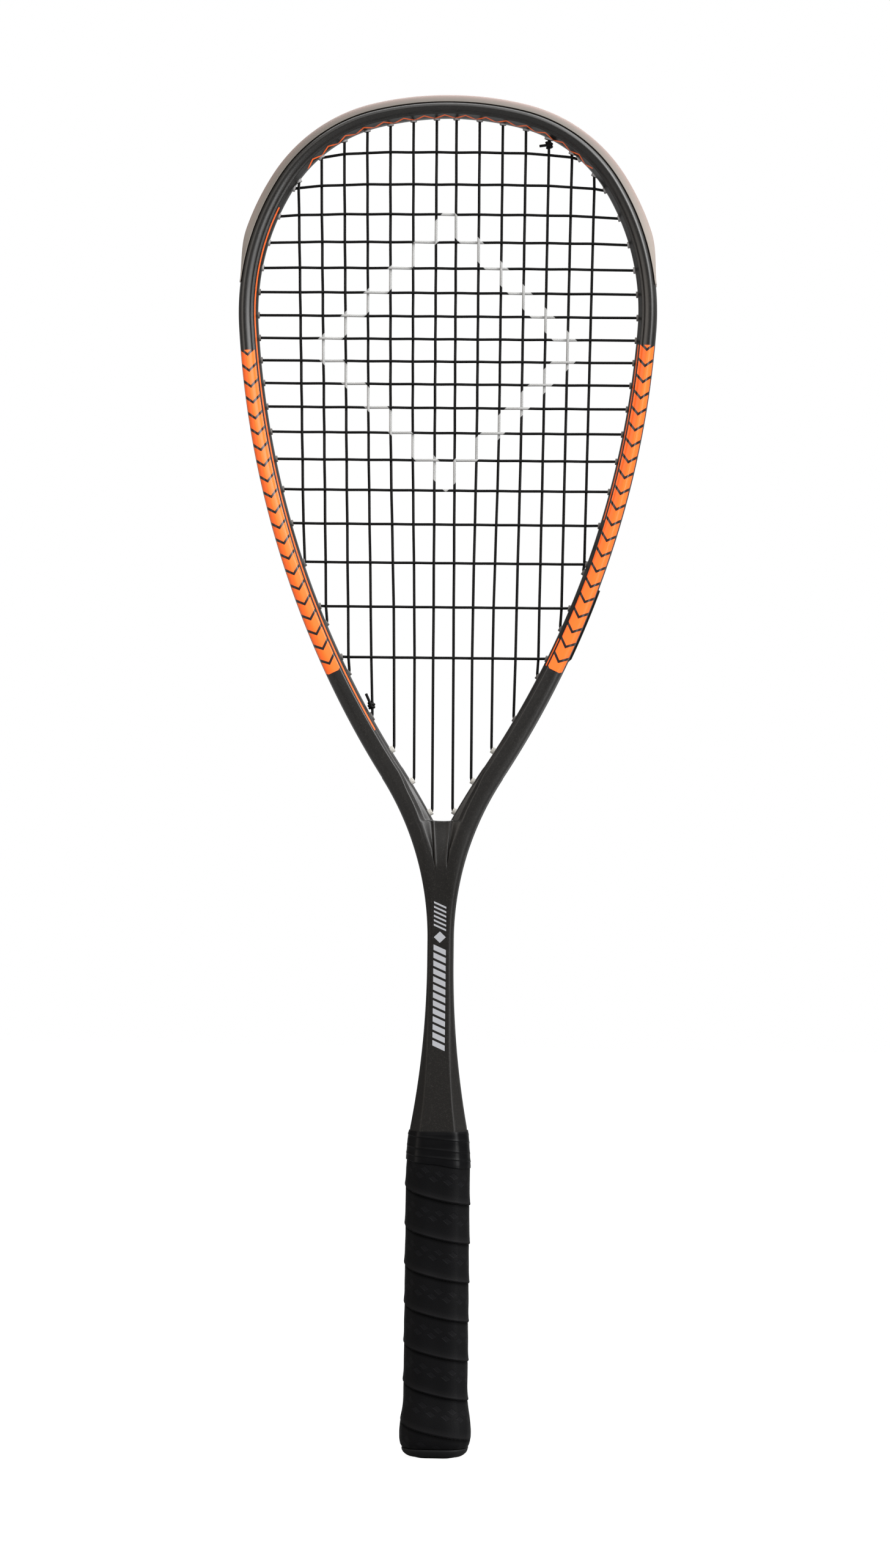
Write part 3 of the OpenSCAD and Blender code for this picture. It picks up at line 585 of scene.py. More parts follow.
ob_frame = add_mesh("frame_moulding", *frame_skin())
bm = bmesh.new()
bm.from_mesh(ob_frame.data)
bmesh.ops.remove_doubles(bm, verts=bm.verts, dist=1e-7)
bmesh.ops.dissolve_degenerate(bm, edges=bm.edges, dist=1e-7)
bm.to_mesh(ob_frame.data)
bm.free()

# --------------------------------------------------- string layout and holes
# 14 mains numbered from the left, 18 crosses numbered from the top.
MAINS, CROSSES = 14, 18
MAIN_LOW_Z, MAIN_RISE = 395, 245            # mains have their low pitch here, their top pitch above
MAIN_LOW_FIRST, MAIN_LOW_PITCH = 5.1, 10.75
MAIN_TOP_FIRST, MAIN_TOP_PITCH = 5, 11.6
STRING_LEAN = -1.5                          # sideways lean of all mains over 290 mm
DRAW_IN = [0, 1.3, 1.8, 1, .3, 0, 0]        # by rank, how far mains pull inward at the bottom
THROAT_PROUD, BARREL_PROUD = 1.9, .9        # how far barrels stand out of the inner edge
TOP_TIE, LOW_TIE = 11, 3                    # mains whose top and bottom holes also take a knot
TIE_EXTRA = .65                             # added to those holes' radii


def main_rank(m):
    """A main's place counted outward from the middle, 0 to 6."""
    return 6 - m if m < 7 else m - 7


def main_side(m):
    return -1 if m < 7 else 1


def main_x(m, z):
    rank = main_rank(m)
    spread = lerp(MAIN_LOW_FIRST + MAIN_LOW_PITCH * rank, MAIN_TOP_FIRST + MAIN_TOP_PITCH * rank,
                  (z - MAIN_LOW_Z) / MAIN_RISE)
    return (main_side(m) * (spread - DRAW_IN[rank] * ease((530 - z) / 130))
            + STRING_LEAN * (z - 350) / 290)


def cross_z(j):
    q = j - 8.5
    return 546.28 - 11.4537 * q - .13948 * q * q - .04908 * q**3 - .00118 * q**4


def cross_z_at(j, x):
    """Height of a cross at x: the top ones droop at their ends."""
    return cross_z(j) - 3 * .4**j * (x / 66) ** 4


# A hole starts at a plan point on the inner edge and runs outward along a plan axis.
Hole = namedtuple("Hole", "s side point axis tied")


def main_gap(m, point):
    return main_side(m) * main_x(m, point[1]) - point[0]


def tilted_axis(s, pull):
    return unit(outward(s) + np.array(pull))


def top_hole(m):
    s = find_root(lambda s: main_gap(m, inner_edge(s)), 0, 165)
    return Hole(s, main_side(m), inner_edge(s), tilted_axis(s, [0, 1]), m == TOP_TIE)


def low_hole(m):
    rank, side = main_rank(m), main_side(m)
    if rank < 2:
        t = find_root(lambda t: main_gap(m, throat_inner(t) - THROAT_PROUD * throat_outward(t)),
                      0, 1)
        return Hole(throat_s, side, throat_inner(t), throat_outward(t), False)
    proud = THROAT_PROUD if rank < 3 else 0
    s = find_root(lambda s: main_gap(m, inner_edge(s) - proud * outward(s)), 175, search_end)
    axis = outward(s) if rank < 4 else tilted_axis(s, [.6, -.8])
    return Hole(s, side, inner_edge(s), axis, m == LOW_TIE)


def cross_hole(j, side):
    s = find_root(lambda s: inner_edge(s)[1] - cross_z_at(j, inner_edge(s)[0]), 20, search_end)
    return Hole(s, side, inner_edge(s), tilted_axis(s, [1, 0]), False)


top_holes = [top_hole(m) for m in range(MAINS)]
low_holes = [low_hole(m) for m in range(MAINS)]
cross_holes = {(j, side): cross_hole(j, side) for j in range(CROSSES) for side in (-1, 1)}


def reach(hole, inset):
    """Distance along a hole to where it comes within inset of the outer edge."""
    length = (tube_width(hole.s) - inset) / float(np.dot(hole.axis, outward(hole.s)))
    if (hole.point + hole.axis * length)[1] < flank_start[1]:
        offset = hole.point - flank_centre
        b = float(np.dot(offset, hole.axis))
        return -b - math.sqrt(b * b - float(np.dot(offset, offset)) + (FLANK_R + inset) ** 2)
    return length


def reach_s(hole, inset):
    """s at which a hole comes within inset of the outer edge."""
    i = arc_index(hole.s)
    x, z = hole.point + hole.axis * reach(hole, inset) - arc_centres[i]
    return arc_starts[i] + (math.atan2(x, z) / DEGREE - arc_headings[i]) * ARC_RADII[i] * DEGREE


def place(point, y, side):
    return np.array([side * point[0], y, point[1]], float)


def along_hole(hole, distance, y=0):
    return place(hole.point + hole.axis * distance, y, hole.side)


def lathe(hole, profile, sides=22):
    """Closed ring turned about a hole's axis; profile is a closed list of (distance along the
    axis from the inner edge, radius)."""
    origin = place(hole.point, 0, hole.side)
    axis = place(hole.axis, 0, hole.side)
    depth = np.array([0, 1.0, 0])
    across = np.cross(axis, depth)
    angle = (np.arange(sides) * 2 * math.pi / sides)[:, None]
    return shell([origin + axis * distance + r * (np.cos(angle) * depth + np.sin(angle) * across)
                  for distance, r in profile], closed=True)


def add_barrel(shells, hole):
    extra = TIE_EXTRA if hole.tied else 0
    outer_r, bore_r = BARREL_OD / 2 + extra, BARREL_ID / 2 + extra
    start, end = -BARREL_PROUD, reach(hole, GROOVE_DEPTH - .5)
    profile = [(start, outer_r - .28), (start + .08, outer_r - .08), (start + .3, outer_r),
               (start + .55, outer_r), (end, outer_r), (end, bore_r), (start + .7, bore_r),
               (start + .25, bore_r + .048), (start + .05, bore_r + .12), (start, bore_r + .22)]
    shells.add(*lathe(hole, profile), arc=hole.s * hole.side, part=1.0)


# --------------------------------------------------------- bumper and grommets
def sweep(section, s_list, thickness=lambda s: 1.0):
    """Shell of a closed section of (out, y) points swept round the head, left side at negative s.
    thickness scales what stands out of the outer edge."""
    rings = []
    for signed_s in s_list:
        s, side = abs(signed_s), -1 if signed_s < 0 else 1
        edge, normal, scale = outer_edge(s), outward(s), thickness(s)
        rings.append([place(edge + normal * (out * (scale if out > 0 else 1)), y, side)
                      for out, y in section])
    return shell(rings)


# back half of the bumper's section, from the groove out and round: (out, y), corner rounding
BUMPER = [
    ([-GROOVE_DEPTH + .85, GROOVE_HALF - .25], .3),
    ([BUMPER_T - .45, GROOVE_HALF - .02], .4),
    ([BUMPER_T, GROOVE_HALF + .45], .8),
    ([BUMPER_T, .36 * half_beam], .9),
    ([BUMPER_T * .86, .53 * half_beam], 1),
    ([BUMPER_T * .48, .69 * half_beam], 1),
    ([.02 * half_beam, .82 * half_beam], .9),
    ([-.035 * half_beam, .86 * half_beam], .8),
    ([-.05 * half_beam, .80 * half_beam], .8),
    ([.03, .64 * half_beam], .6),
    ([.02, .27 * half_beam], .3),
    ([-GROOVE_DEPTH + .02, GROOVE_HALF - .03], .3),
]
BUMPER_FADE = 26          # the bumper thins over this length at both ends


def bumper_thickness(s):
    return float(lerp(.12, 1, ease((BUMPER_END - s) / BUMPER_FADE)))


def bumper():
    points, shares = [list(part) for part in zip(*BUMPER)]
    section = round_closed([[out, -y] for out, y in points] + points[::-1],
                           shares + shares[::-1], 4)
    full = BUMPER_END - BUMPER_FADE
    s_list = np.concatenate([np.linspace(-BUMPER_END, -full, 22)[:-1],
                             np.linspace(-full, full, 150),
                             np.linspace(full, BUMPER_END, 22)[1:]])
    shells = Shells("arc", "part")
    shells.add(*sweep(section, s_list, bumper_thickness),
               arc=np.concatenate([np.repeat(s_list, len(section)), [s_list[0], s_list[-1]]]))
    for hole in top_holes + [cross_holes[j, side] for j in range(5) for side in (-1, 1)]:
        add_barrel(shells, hole)
    return shells.make("bumper_guard_moulding")


ob_bumper = bumper()

strip_end = find_root(lambda s: inner_edge(s)[1] - 366, arc_starts[3], search_end)
STRIP = [(-GROOVE_DEPTH + out, y) for out, y in (
    (.02, -GROOVE_HALF + .1), (.62, -GROOVE_HALF + .1), (.82, -GROOVE_HALF + .4),
    (.82, GROOVE_HALF - .4), (.62, GROOVE_HALF - .1), (.02, GROOVE_HALF - .1))]


def own_low_holes(side, ranks):
    return [low_holes[m] for m in range(MAINS) if main_side(m) == side and main_rank(m) in ranks]


def grommet_strip(side, name):
    barrels, shells = Shells("arc", "part"), Shells("arc", "part")
    shells.add(*sweep(STRIP, side * np.linspace(BUMPER_END + 1.5, strip_end, 150)))
    for hole in [cross_holes[j, side] for j in range(5, 18)] + own_low_holes(side, range(3, 7)):
        # the strips' barrels carry no arc
        barrels.__init__("arc", "part")
        add_barrel(barrels, hole)
        shells.add(barrels.verts[0], barrels.faces, part=1.0)
        # raised pad round each hole on the strip's outside, two shallow steps
        top = reach(hole, GROOVE_DEPTH - .82)
        pad = [(top - .5, 1.85), (top + .05, 1.85), (top + .14, 1.72), (top + .14, 1.15),
               (top + .05, 1.02), (top - .5, 1.02)]
        shells.add(*lathe(hole, pad), part=1.0)
    return shells.make("grommet_strip_%s_moulding" % name)


def throat_grommets(side, name):
    shells = Shells("arc", "part")
    outer_r, bore_r, start = BARREL_OD / 2, BARREL_ID / 2, -THROAT_PROUD
    for hole in own_low_holes(side, range(3)):
        end = reach(hole, GROOVE_DEPTH)
        profile = [(start, outer_r - .26), (start + .08, outer_r - .09), (start + .3, outer_r),
                   (-.35, outer_r), (.1, outer_r), (end + .2, outer_r), (end + .25, 1.9),
                   (end + .72, 1.92), (end + .8, 1.8), (end + .8, bore_r + .12),
                   (end + .65, bore_r), (start + .5, bore_r), (start + .15, bore_r + .08),
                   (start, bore_r + .22)]
        shells.add(*lathe(hole, profile, sides=26), part=1.0)
    return shells.make("throat_grommets_%s_moulding" % name)


SIDES = ((-1, "left"), (1, "right"))
ob_strips = [grommet_strip(side, name) for side, name in SIDES]
ob_throat = [throat_grommets(side, name) for side, name in SIDES]

# -------------------------------------------------------------------- strings
WEAVE = STRING_D / 2 + .03                       # swing either side of the string plane
LANE = STRING_D + .06                            # sideways place in the groove: mains front
RUN_INSET = GROOVE_DEPTH - .85 - STRING_D / 2    # depth of the runs in the groove
WEAVE_STEP = 1.15


def edge_inset(s, inset=RUN_INSET):
    return outer_edge(s) - outward(s) * inset


def groove_point(hole, y=0):
    return along_hole(hole, reach(hole, RUN_INSET), y)


def run_between(start, end, y):
    """Run in the groove from one hole to the next, moving sideways to y over its first and last
    parts."""
    ends = groove_point(start), groove_point(end)
    z1, z2 = ends[0][2], ends[1][2]
    if min(z1, z2) < flank_start[1]:
        heights = [lerp(z1, z2, i / 8) for i in range(1, 8)]
        middle = [place([flank_x(z) - RUN_INSET * 1.1, z], 0, start.side) for z in heights]
    else:
        s1, s2 = reach_s(start, RUN_INSET), reach_s(end, RUN_INSET)
        count = max(6, int(abs(s2 - s1) / 2))
        middle = [place(edge_inset(lerp(s1, s2, i / count)), 0, start.side)
                  for i in range(1, count)]
    for i, point in enumerate(middle):
        t = (i + 1) / (len(middle) + 1)
        point[1] = y * float(ease(min(t, 1 - t) * 3.2))
    return [ends[0], *middle, ends[1]]


def crossings(pairs, sign):
    """Points where main m meets cross j; sign is 1 for the main and -1 for the cross."""
    out = []
    for m, j in pairs:
        z = cross_z_at(j, main_x(m, cross_z(j)))
        if low_holes[m].point[1] + 1.5 < z < top_holes[m].point[1] - 1.5:
            swing = sign * (1 if (m + j) % 2 == 0 else -1) * WEAVE
            out.append(np.array([main_x(m, z), swing, z]))
    return out


def weave(first, points, last):
    """Run through crossings: y swings like a cosine from one to the next."""
    knots = [first, *points, last]
    out = []
    for a, b in zip(knots[:-1], knots[1:]):
        count = max(4, int(round(np.linalg.norm(b - a) / WEAVE_STEP)))
        for i in range(count):
            t = i / count
            swing = (1 - math.cos(math.pi * t)) / 2
            out.append(np.array([lerp(a[0], b[0], t), lerp(a[1], b[1], swing),
                                 lerp(a[2], b[2], t)]))
    return out + [last]


def main_run(m):
    """One main from top to bottom."""
    points = crossings([(m, j) for j in range(CROSSES)], 1)
    proud = THROAT_PROUD if main_rank(m) < 3 else .6
    return weave(along_hole(top_holes[m], -.6), points, along_hole(low_holes[m], -proud))


def cross_run(j):
    """One cross from left to right."""
    points = crossings([(m, j) for m in range(MAINS)], -1)
    left, right = (along_hole(cross_holes[j, side], -.6) for side in (-1, 1))
    return weave(left, points, right)


def crown_run():
    """The mains' run over the crown, from the left half to the right."""
    first, last = groove_point(top_holes[6]), groove_point(top_holes[7])
    out = [first]
    for i in range(1, 8):
        x = lerp(first[0], last[0], i / 8)
        edge = edge_inset(abs(x))
        out.append(np.array([math.copysign(edge[0], x) if x else 0,
                             -LANE * float(ease(min(i, 8 - i) / 8 * 3.2)), edge[1]]))
    return out + [last]


def mains_path():
    path = []
    for m in range(MAINS):
        path += main_run(m)[::-1] if m % 2 == 0 else main_run(m)
        if m == 13:
            path.append(groove_point(low_holes[13]))
        elif m % 2 == 1:
            path += run_between(low_holes[m], low_holes[m + 1], -LANE)
        elif m == 6:
            path += crown_run()
        else:
            path += run_between(top_holes[m], top_holes[m + 1], -LANE)
    return path


def crosses_path():
    # from the last main up the outside of the right arm to the lowest cross
    first = cross_holes[17, 1]
    s1, s2 = reach_s(low_holes[13], 0), reach_s(first, 0)
    path = [place(edge_inset(lerp(s1 + 3, s2 - 3, i / 11), -.25), 0, 1) for i in range(12)]
    path.append(groove_point(first))
    for j in range(CROSSES - 1, -1, -1):
        path += cross_run(j)[::-1] if j % 2 == 1 else cross_run(j)
        if j:
            side = -1 if j % 2 == 1 else 1
            path += run_between(cross_holes[j, side], cross_holes[j - 1, side], LANE)
    # from the top cross over the right shoulder to the hole of the upper knot
    start, end = cross_holes[0, 1], top_holes[TOP_TIE]
    s1, s2 = reach_s(start, RUN_INSET), reach_s(end, RUN_INSET)
    path.append(groove_point(start))
    for i in range(1, 12):
        y = LANE * float(ease(min(i, 12 - i) / 12 * 4))
        path.append(place(edge_inset(lerp(s1, s2, i / 12)), y, 1))
    path.append(groove_point(end, .9))
    return path


def woven_string(name, path):
    shells = Shells("along", "round")
    path = np.array(path)
    apart = np.linalg.norm(np.diff(path, axis=0), axis=1) > .05
    add_cord(shells, path[np.concatenate([[True], apart])])
    return shells.make(name)


def knot(name, x, z, side, tail, tail_length):
    """Coil wound round a main at (x, z), with a cut tail in the plan direction tail."""
    shells = Shells("along", "round")
    centre = place([x, z], 0, side)
    tail = unit(place(tail, 0, side))
    coil_r, turns, steps = STRING_D + .02, 2.25, 64
    coil = []
    for i in range(steps + 1):
        q = i / steps
        angle = q * turns * 2 * math.pi + .6
        coil.append(centre + np.array([-coil_r * math.cos(angle), coil_r * math.sin(angle),
                                       (STRING_D + .03) * turns * q - .3]))
    add_cord(shells, resample(coil, .5))
    start = centre + np.array([0, -(coil_r - .05), STRING_D * .7]) - tail * .5
    add_cord(shells, [start + tail * (tail_length * i / 12)
                      + np.array([0, -.25 * math.sin(i / 12 * math.pi), 0]) for i in range(13)])
    return shells.make(name)


ob_mains = woven_string("main_strings_woven", mains_path())
ob_crosses = woven_string("cross_strings_woven", crosses_path())
tie_z = top_holes[TOP_TIE].point[1]
ob_knot_top = knot("tie_off_knot_top_wound", main_x(TOP_TIE, tie_z - 3.2), tie_z - 4.4, side=1,
                   tail=[-1, -.12], tail_length=5.2)
tie_z = low_holes[LOW_TIE].point[1]
ob_knot_throat = knot("tie_off_knot_throat_wound", -main_x(LOW_TIE, tie_z + 5), tie_z + 4.6,
                      side=-1, tail=[.45, 1], tail_length=7)

# --------------------------------------------------------------------- handle
RING = 168      # points round the handle


def octagon(a, b, share):
    """Softened octagon of half width a and half depth b, its points evenly spaced from the left
    edge across the front to the right and round."""
    corners = [[-a, -.44 * b], [-.61 * a, -b], [.61 * a, -b], [a, -.44 * b],
               [a, .44 * b], [.61 * a, b], [-.61 * a, b], [-a, .44 * b]]
    curve = round_closed(corners, [share] * 8, 9)
    curve = np.vstack([curve, curve[:1]])
    length = path_lengths(curve)

    def sample(at):
        return np.interp(at, length, curve[:, 0]), np.interp(at, length, curve[:, 1])

    # start where the left edge crosses y = 0
    fine = np.linspace(0, length[-1], 4001)
    x, y = sample(fine)
    start = fine[np.argmin(np.where(x < 0, np.abs(y), 1e9))]
    return np.stack(sample((start + np.arange(RING) * length[-1] / RING) % length[-1]), 1)


handle_ring = octagon(HANDLE_W / 2, HANDLE_D / 2, .45)
growth = octagon(HANDLE_W / 2 + 1, HANDLE_D / 2 + 1, .55) - handle_ring   # 1 mm outward
turn_share = np.arange(RING) / RING


def level(ring, z):
    return np.column_stack([ring, np.full(RING, z)])


def grown(offset):
    return handle_ring + growth * offset


def sleeve(name, z_rows, offset_at, bore, drop_at=None):
    """Closed sleeve round the handle. z_rows: heights, rows x RING. offset_at(turn, z): how far
    its outside stands off the handle. bore: (z, offset) of its inside from the bottom up; None
    follows the sleeve's own end. Attributes: turn (share of the way round), drop (distance above
    the seam), hgt (outside offset)."""
    turns = np.tile(turn_share, (len(z_rows), 1))
    offsets = offset_at(turns, z_rows)
    outside = np.concatenate([handle_ring[None] + growth[None] * offsets[..., None],
                              z_rows[..., None]], -1)
    heights = [z_rows[0] + .02, *(z for z, _ in bore[1:-1]), z_rows[-1] - .02]
    inside = [level(grown(offset), z) for z, (_, offset) in zip(heights, bore)]
    drop = drop_at(turns, z_rows) if drop_at else np.zeros_like(z_rows)
    blank = np.zeros(len(inside) * RING)
    shells = Shells("turn", "drop", "hgt")
    shells.add(*shell(np.concatenate([outside, np.array(inside)[::-1]]), closed=True),
               turn=np.tile(turn_share, len(z_rows) + len(inside)),
               drop=np.concatenate([drop.reshape(-1), blank]),
               hgt=np.concatenate([offsets.reshape(-1), blank]))
    return shells.make(name)


def straight_rows(low, high, count):
    return np.tile(np.linspace(low, high, count)[:, None], (1, RING))


def bell(x, width):
    return np.exp(-(x / width) ** 2)


WRAP_PITCH = 19.65


def seam_drop(turn, z):
    """Distance above the seam, 0 to WRAP_PITCH. The seam falls as it goes round the front."""
    lag = turn - .115 * np.cos(2 * math.pi * (turn + .2)) - .227
    return np.mod(z - (133.0 - WRAP_PITCH * lag), WRAP_PITCH)


def grip_offset(turn, z):
    base = smooth_table(
        z, [5.2, 6.5, 8, 10, 12.5, 16, 20, 24, 28, 31, 144, 150, 158, 161.5],
        [2.25, 3.0, 3.4, 3.62, 3.66, 3.45, 2.95, 2.3, 1.86, 1.70, 1.68, 1.3, .78, .45])
    drop = seam_drop(turn, z)
    low = lerp(.30, 1.0, ease((z - 17) / 9))            # the overlap is weaker on the flare
    overlap = (.40 * bell(drop, 4.0) + .10 * bell(drop - 9, 6)) * low
    lip = .12 * bell(drop - .6, .5) * low
    under = -.14 * bell(WRAP_PITCH - drop, .7)
    fade = ease((z - 7) / 6) * ease((156 - z) / 12) * .92 + .06
    # a little unevenness in the winding
    uneven = (.05 * np.sin(2 * math.pi * (3 * turn + z / 31.0))
              + .04 * np.sin(2 * math.pi * (5 * turn - z / 17.0) + 1.0))
    return base + (overlap + lip + under + uneven) * fade


def underlay_offset(turn, z):
    return .24 + .10 * bell(np.mod(z - 133 + 24 * turn, 24.0), 3.0)


def tape_low_z(turn):
    return 147.7 + 2.2 * np.cos(2 * math.pi * turn) + .25 * np.sin(2 * math.pi * 5 * turn)


def tape_offset(turn, z):
    base = smooth_table(z, [144.5, 146, 152, 158, 161, 163, 164.5],
                        [2.12, 2.1, 1.72, 1.28, 1.02, .8, .5])
    lap = np.mod(z - 153.5 + 9.5 * turn, 9.5)
    fold = .16 * bell(lap, .9) + .10 * bell(lap - 4.3, .5)
    wrinkle = (.018 * np.sin(2 * math.pi * (2 * turn + z / 6.3))
               + .014 * np.sin(2 * math.pi * (3 * turn - z / 4.1) + .7))
    fade = ease((z - tape_low_z(turn)) / 1.2) * ease((164.4 - z) / 1.6)
    return base + (fold + wrinkle) * fade


ob_grip = sleeve("grip_tape_wound", straight_rows(5.2, 161.5, 470), grip_offset,
                 [(None, 1.1), (7.5, 2.05), (12.5, 2.25), (20, 1.4), (26.3, .88), (27.5, .36),
                  (None, .36)], seam_drop)
ob_underlay = sleeve("grip_underlay_wound", straight_rows(26.5, 159.5, 120), underlay_offset,
                     [(None, .03), (None, .03)])
tape_rows = np.array([lerp(tape_low_z(turn_share), 164.45, q) for q in np.linspace(0, 1, 84) ** .9])
ob_tape = sleeve("finishing_tape_wound", tape_rows, tape_offset,
                 [(None, 1.3), (158, .9), (161.6, .5), (None, .14)])

# the butt cap's outside from its top edge down: z, offset from the handle
CAP_OUTSIDE = [
    (26, .82), (25.6, 1.02), (24, 1.1), (20, 1.32), (16, 1.75), (12.5, 2.15), (9, 2.2),
    (7.5, 2.05), (6.2, 1.4), (5.2, 1.05), (4.95, 1.6), (4.9, 2.25), (4.7, 2.42), (4.2, 2.4),
    (3.5, 2.2), (2.6, 1.65), (1.8, .8), (1.1, -.3), (.6, -1.5), (.25, -2.9), (.06, -4.2), (0, -5.6)]
# its underside, a shallow dish: scale of the handle's outline, z
CAP_UNDERSIDE = [(.72, 0.0), (.70, .06), (.66, .42), (.60, .5), (.3, .5)]
CAP_FLOOR_Z, CAP_BORE_TOP_Z, CAP_BORE = 2.4, 25.9, .06


def butt_cap():
    rings = [level(handle_ring * .3, CAP_FLOOR_Z)]
    rings += [level(grown(CAP_BORE), z) for z in (CAP_FLOOR_Z, CAP_BORE_TOP_Z)]
    rings += [level(grown(offset), z) for z, offset in CAP_OUTSIDE]
    rings += [level(handle_ring * scale, z) for scale, z in CAP_UNDERSIDE]
    shells = Shells("part")
    shells.add(*shell(rings))
    return shells.make("butt_cap_moulding")


ob_cap = butt_cap()


# ---------------------------------------------------------- shader node helpers
class Value:
    """A shader value. Arithmetic on it adds Math nodes."""

    def __init__(self, tree, socket):
        self.tree, self.socket = tree, socket

    def op(self, name, *others, clamp=False):
        node = self.tree.nodes.new("ShaderNodeMath")
        node.operation = name
        node.use_clamp = clamp
        self.tree.links.new(self.socket, node.inputs[0])
        for i, other in enumerate(others):
            if isinstance(other, Value):
                self.tree.links.new(other.socket, node.inputs[i + 1])
            else:
                node.inputs[i + 1].default_value = float(other)
        return Value(self.tree, node.outputs[0])

    def __add__(self, other): return self.op("ADD", other)
    def __sub__(self, other): return self.op("SUBTRACT", other)
    def __rsub__(self, other): return self.op("MULTIPLY", -1.0).op("ADD", other)
    def __mul__(self, other): return self.op("MULTIPLY", other)
    def __truediv__(self, other): return self.op("DIVIDE", other)
    def abs(self): return self.op("ABSOLUTE")
    def frac(self): return self.op("FRACT")
    def max(self, other): return self.op("MAXIMUM", other)
    def sin(self): return self.op("SINE")
    def pow(self, other): return self.op("POWER", other)
    def clip(self): return self.op("ADD", 0.0, clamp=True)

    def above(self, edge, soft):
        """0 below the edge, 1 above it, changing over soft."""
        return ((self - edge) / soft + .5).clip()

    def below(self, edge, soft):
        return (((self - edge) * -1.0) / soft + .5).clip()

    def between(self, low, high, soft):
        return self.above(low, soft) * self.below(high, soft)


class Nodes:
    """Adds nodes to a shader tree."""

    def __init__(self, tree):
        self.tree = tree
        self.object_coords = None

    def node(self, kind, **props):
        node = self.tree.nodes.new(kind)
        for key, value in props.items():
            setattr(node, key, value)
        return node

    def put(self, socket, value):
        if isinstance(value, Value):
            value = value.socket
        if hasattr(value, "is_output"):
            self.tree.links.new(value, socket)
        else:
            socket.default_value = value

    def split(self, vector, kind="ShaderNodeSeparateXYZ"):
        node = self.node(kind)
        self.tree.links.new(vector, node.inputs[0])
        return [Value(self.tree, node.outputs[i]) for i in range(3)]

    def coords(self):
        if self.object_coords is None:
            self.object_coords = self.node("ShaderNodeTexCoord").outputs["Object"]
        return self.object_coords

    def position(self, axes="xyz"):
        """Object coordinates in mm, for the axes named."""
        parts = self.split(self.coords())
        return [parts["xyz".index(axis)] * 1000.0 for axis in axes]

    def attr(self, name):
        node = self.node("ShaderNodeAttribute", attribute_name=name)
        return Value(self.tree, node.outputs["Fac"])

    def camera_ray(self):
        return self.node("ShaderNodeLightPath").outputs["Is Camera Ray"]

    def vector(self, *parts):
        node = self.node("ShaderNodeCombineXYZ")
        for socket, part in zip(node.inputs, parts):
            self.put(socket, part)
        return node.outputs[0]

    def noise(self, scale, detail=3.0, rough=.55, vector=None, distort=0.0):
        node = self.node("ShaderNodeTexNoise")
        node.inputs["Scale"].default_value = scale
        node.inputs["Detail"].default_value = detail
        node.inputs["Roughness"].default_value = rough
        node.inputs["Distortion"].default_value = distort
        self.put(node.inputs["Vector"], vector or self.coords())
        return Value(self.tree, node.outputs["Fac"])

    def voronoi(self, scale, feature="F1"):
        node = self.node("ShaderNodeTexVoronoi", feature=feature)
        node.inputs["Scale"].default_value = scale
        self.put(node.inputs["Vector"], self.coords())
        return node.outputs

    def cell_distance(self, scale, feature="F1"):
        return Value(self.tree, self.voronoi(scale, feature)["Distance"])

    def cell_colours(self, scale):
        return self.split(self.voronoi(scale)["Color"], "ShaderNodeSeparateColor")

    def mix(self, a, b, amount):
        """Colour a, turning to b as the amount goes from 0 to 1."""
        node = self.node("ShaderNodeMix", data_type="RGBA")
        self.put(node.inputs[0], amount)
        for i, colour in ((6, a), (7, b)):
            self.put(node.inputs[i], colour if hasattr(colour, "is_output") else (*colour, 1.0))
        return node.outputs[2]

    def darker(self, colour, factor):
        node = self.node("ShaderNodeVectorMath", operation="SCALE")
        self.put(node.inputs[0], colour)
        self.put(node.inputs["Scale"], factor)
        return node.outputs[0]

    def bump(self, height, distance, strength, normal=None):
        node = self.node("ShaderNodeBump")
        node.inputs["Strength"].default_value = strength
        node.inputs["Distance"].default_value = distance
        self.put(node.inputs["Height"], height)
        if normal is not None:
            self.put(node.inputs["Normal"], normal)
        return node.outputs[0]


class Material(Nodes):
    def __init__(self, name):
        self.data = bpy.data.materials.new(name)
        self.data.use_nodes = True
        super().__init__(self.data.node_tree)
        self.bsdf = next(n for n in self.tree.nodes if n.type == "BSDF_PRINCIPLED")

    def set(self, **inputs):
        for key, value in inputs.items():
            self.put(self.bsdf.inputs[key.replace("_", " ")], value)


def srgb(*channels):
    """Linear colour of 0-255 sRGB channels."""
    return tuple((c / 255) / 12.92 if c / 255 <= .04045 else ((c / 255 + .055) / 1.055) ** 2.4
                 for c in channels)


# ------------------------------------------------------------------ materials
ORANGE, SILVER = srgb(255, 108, 42), srgb(146, 147, 151)
# by side: z of the ends of the run of bars, z ranges of the thin lines
MARKINGS = {-1: ((556, 392), [(632, 361)]),
            1: ((560, 394), [(409, 395), (560, 470)])}
BAR_COUNT = 21.0


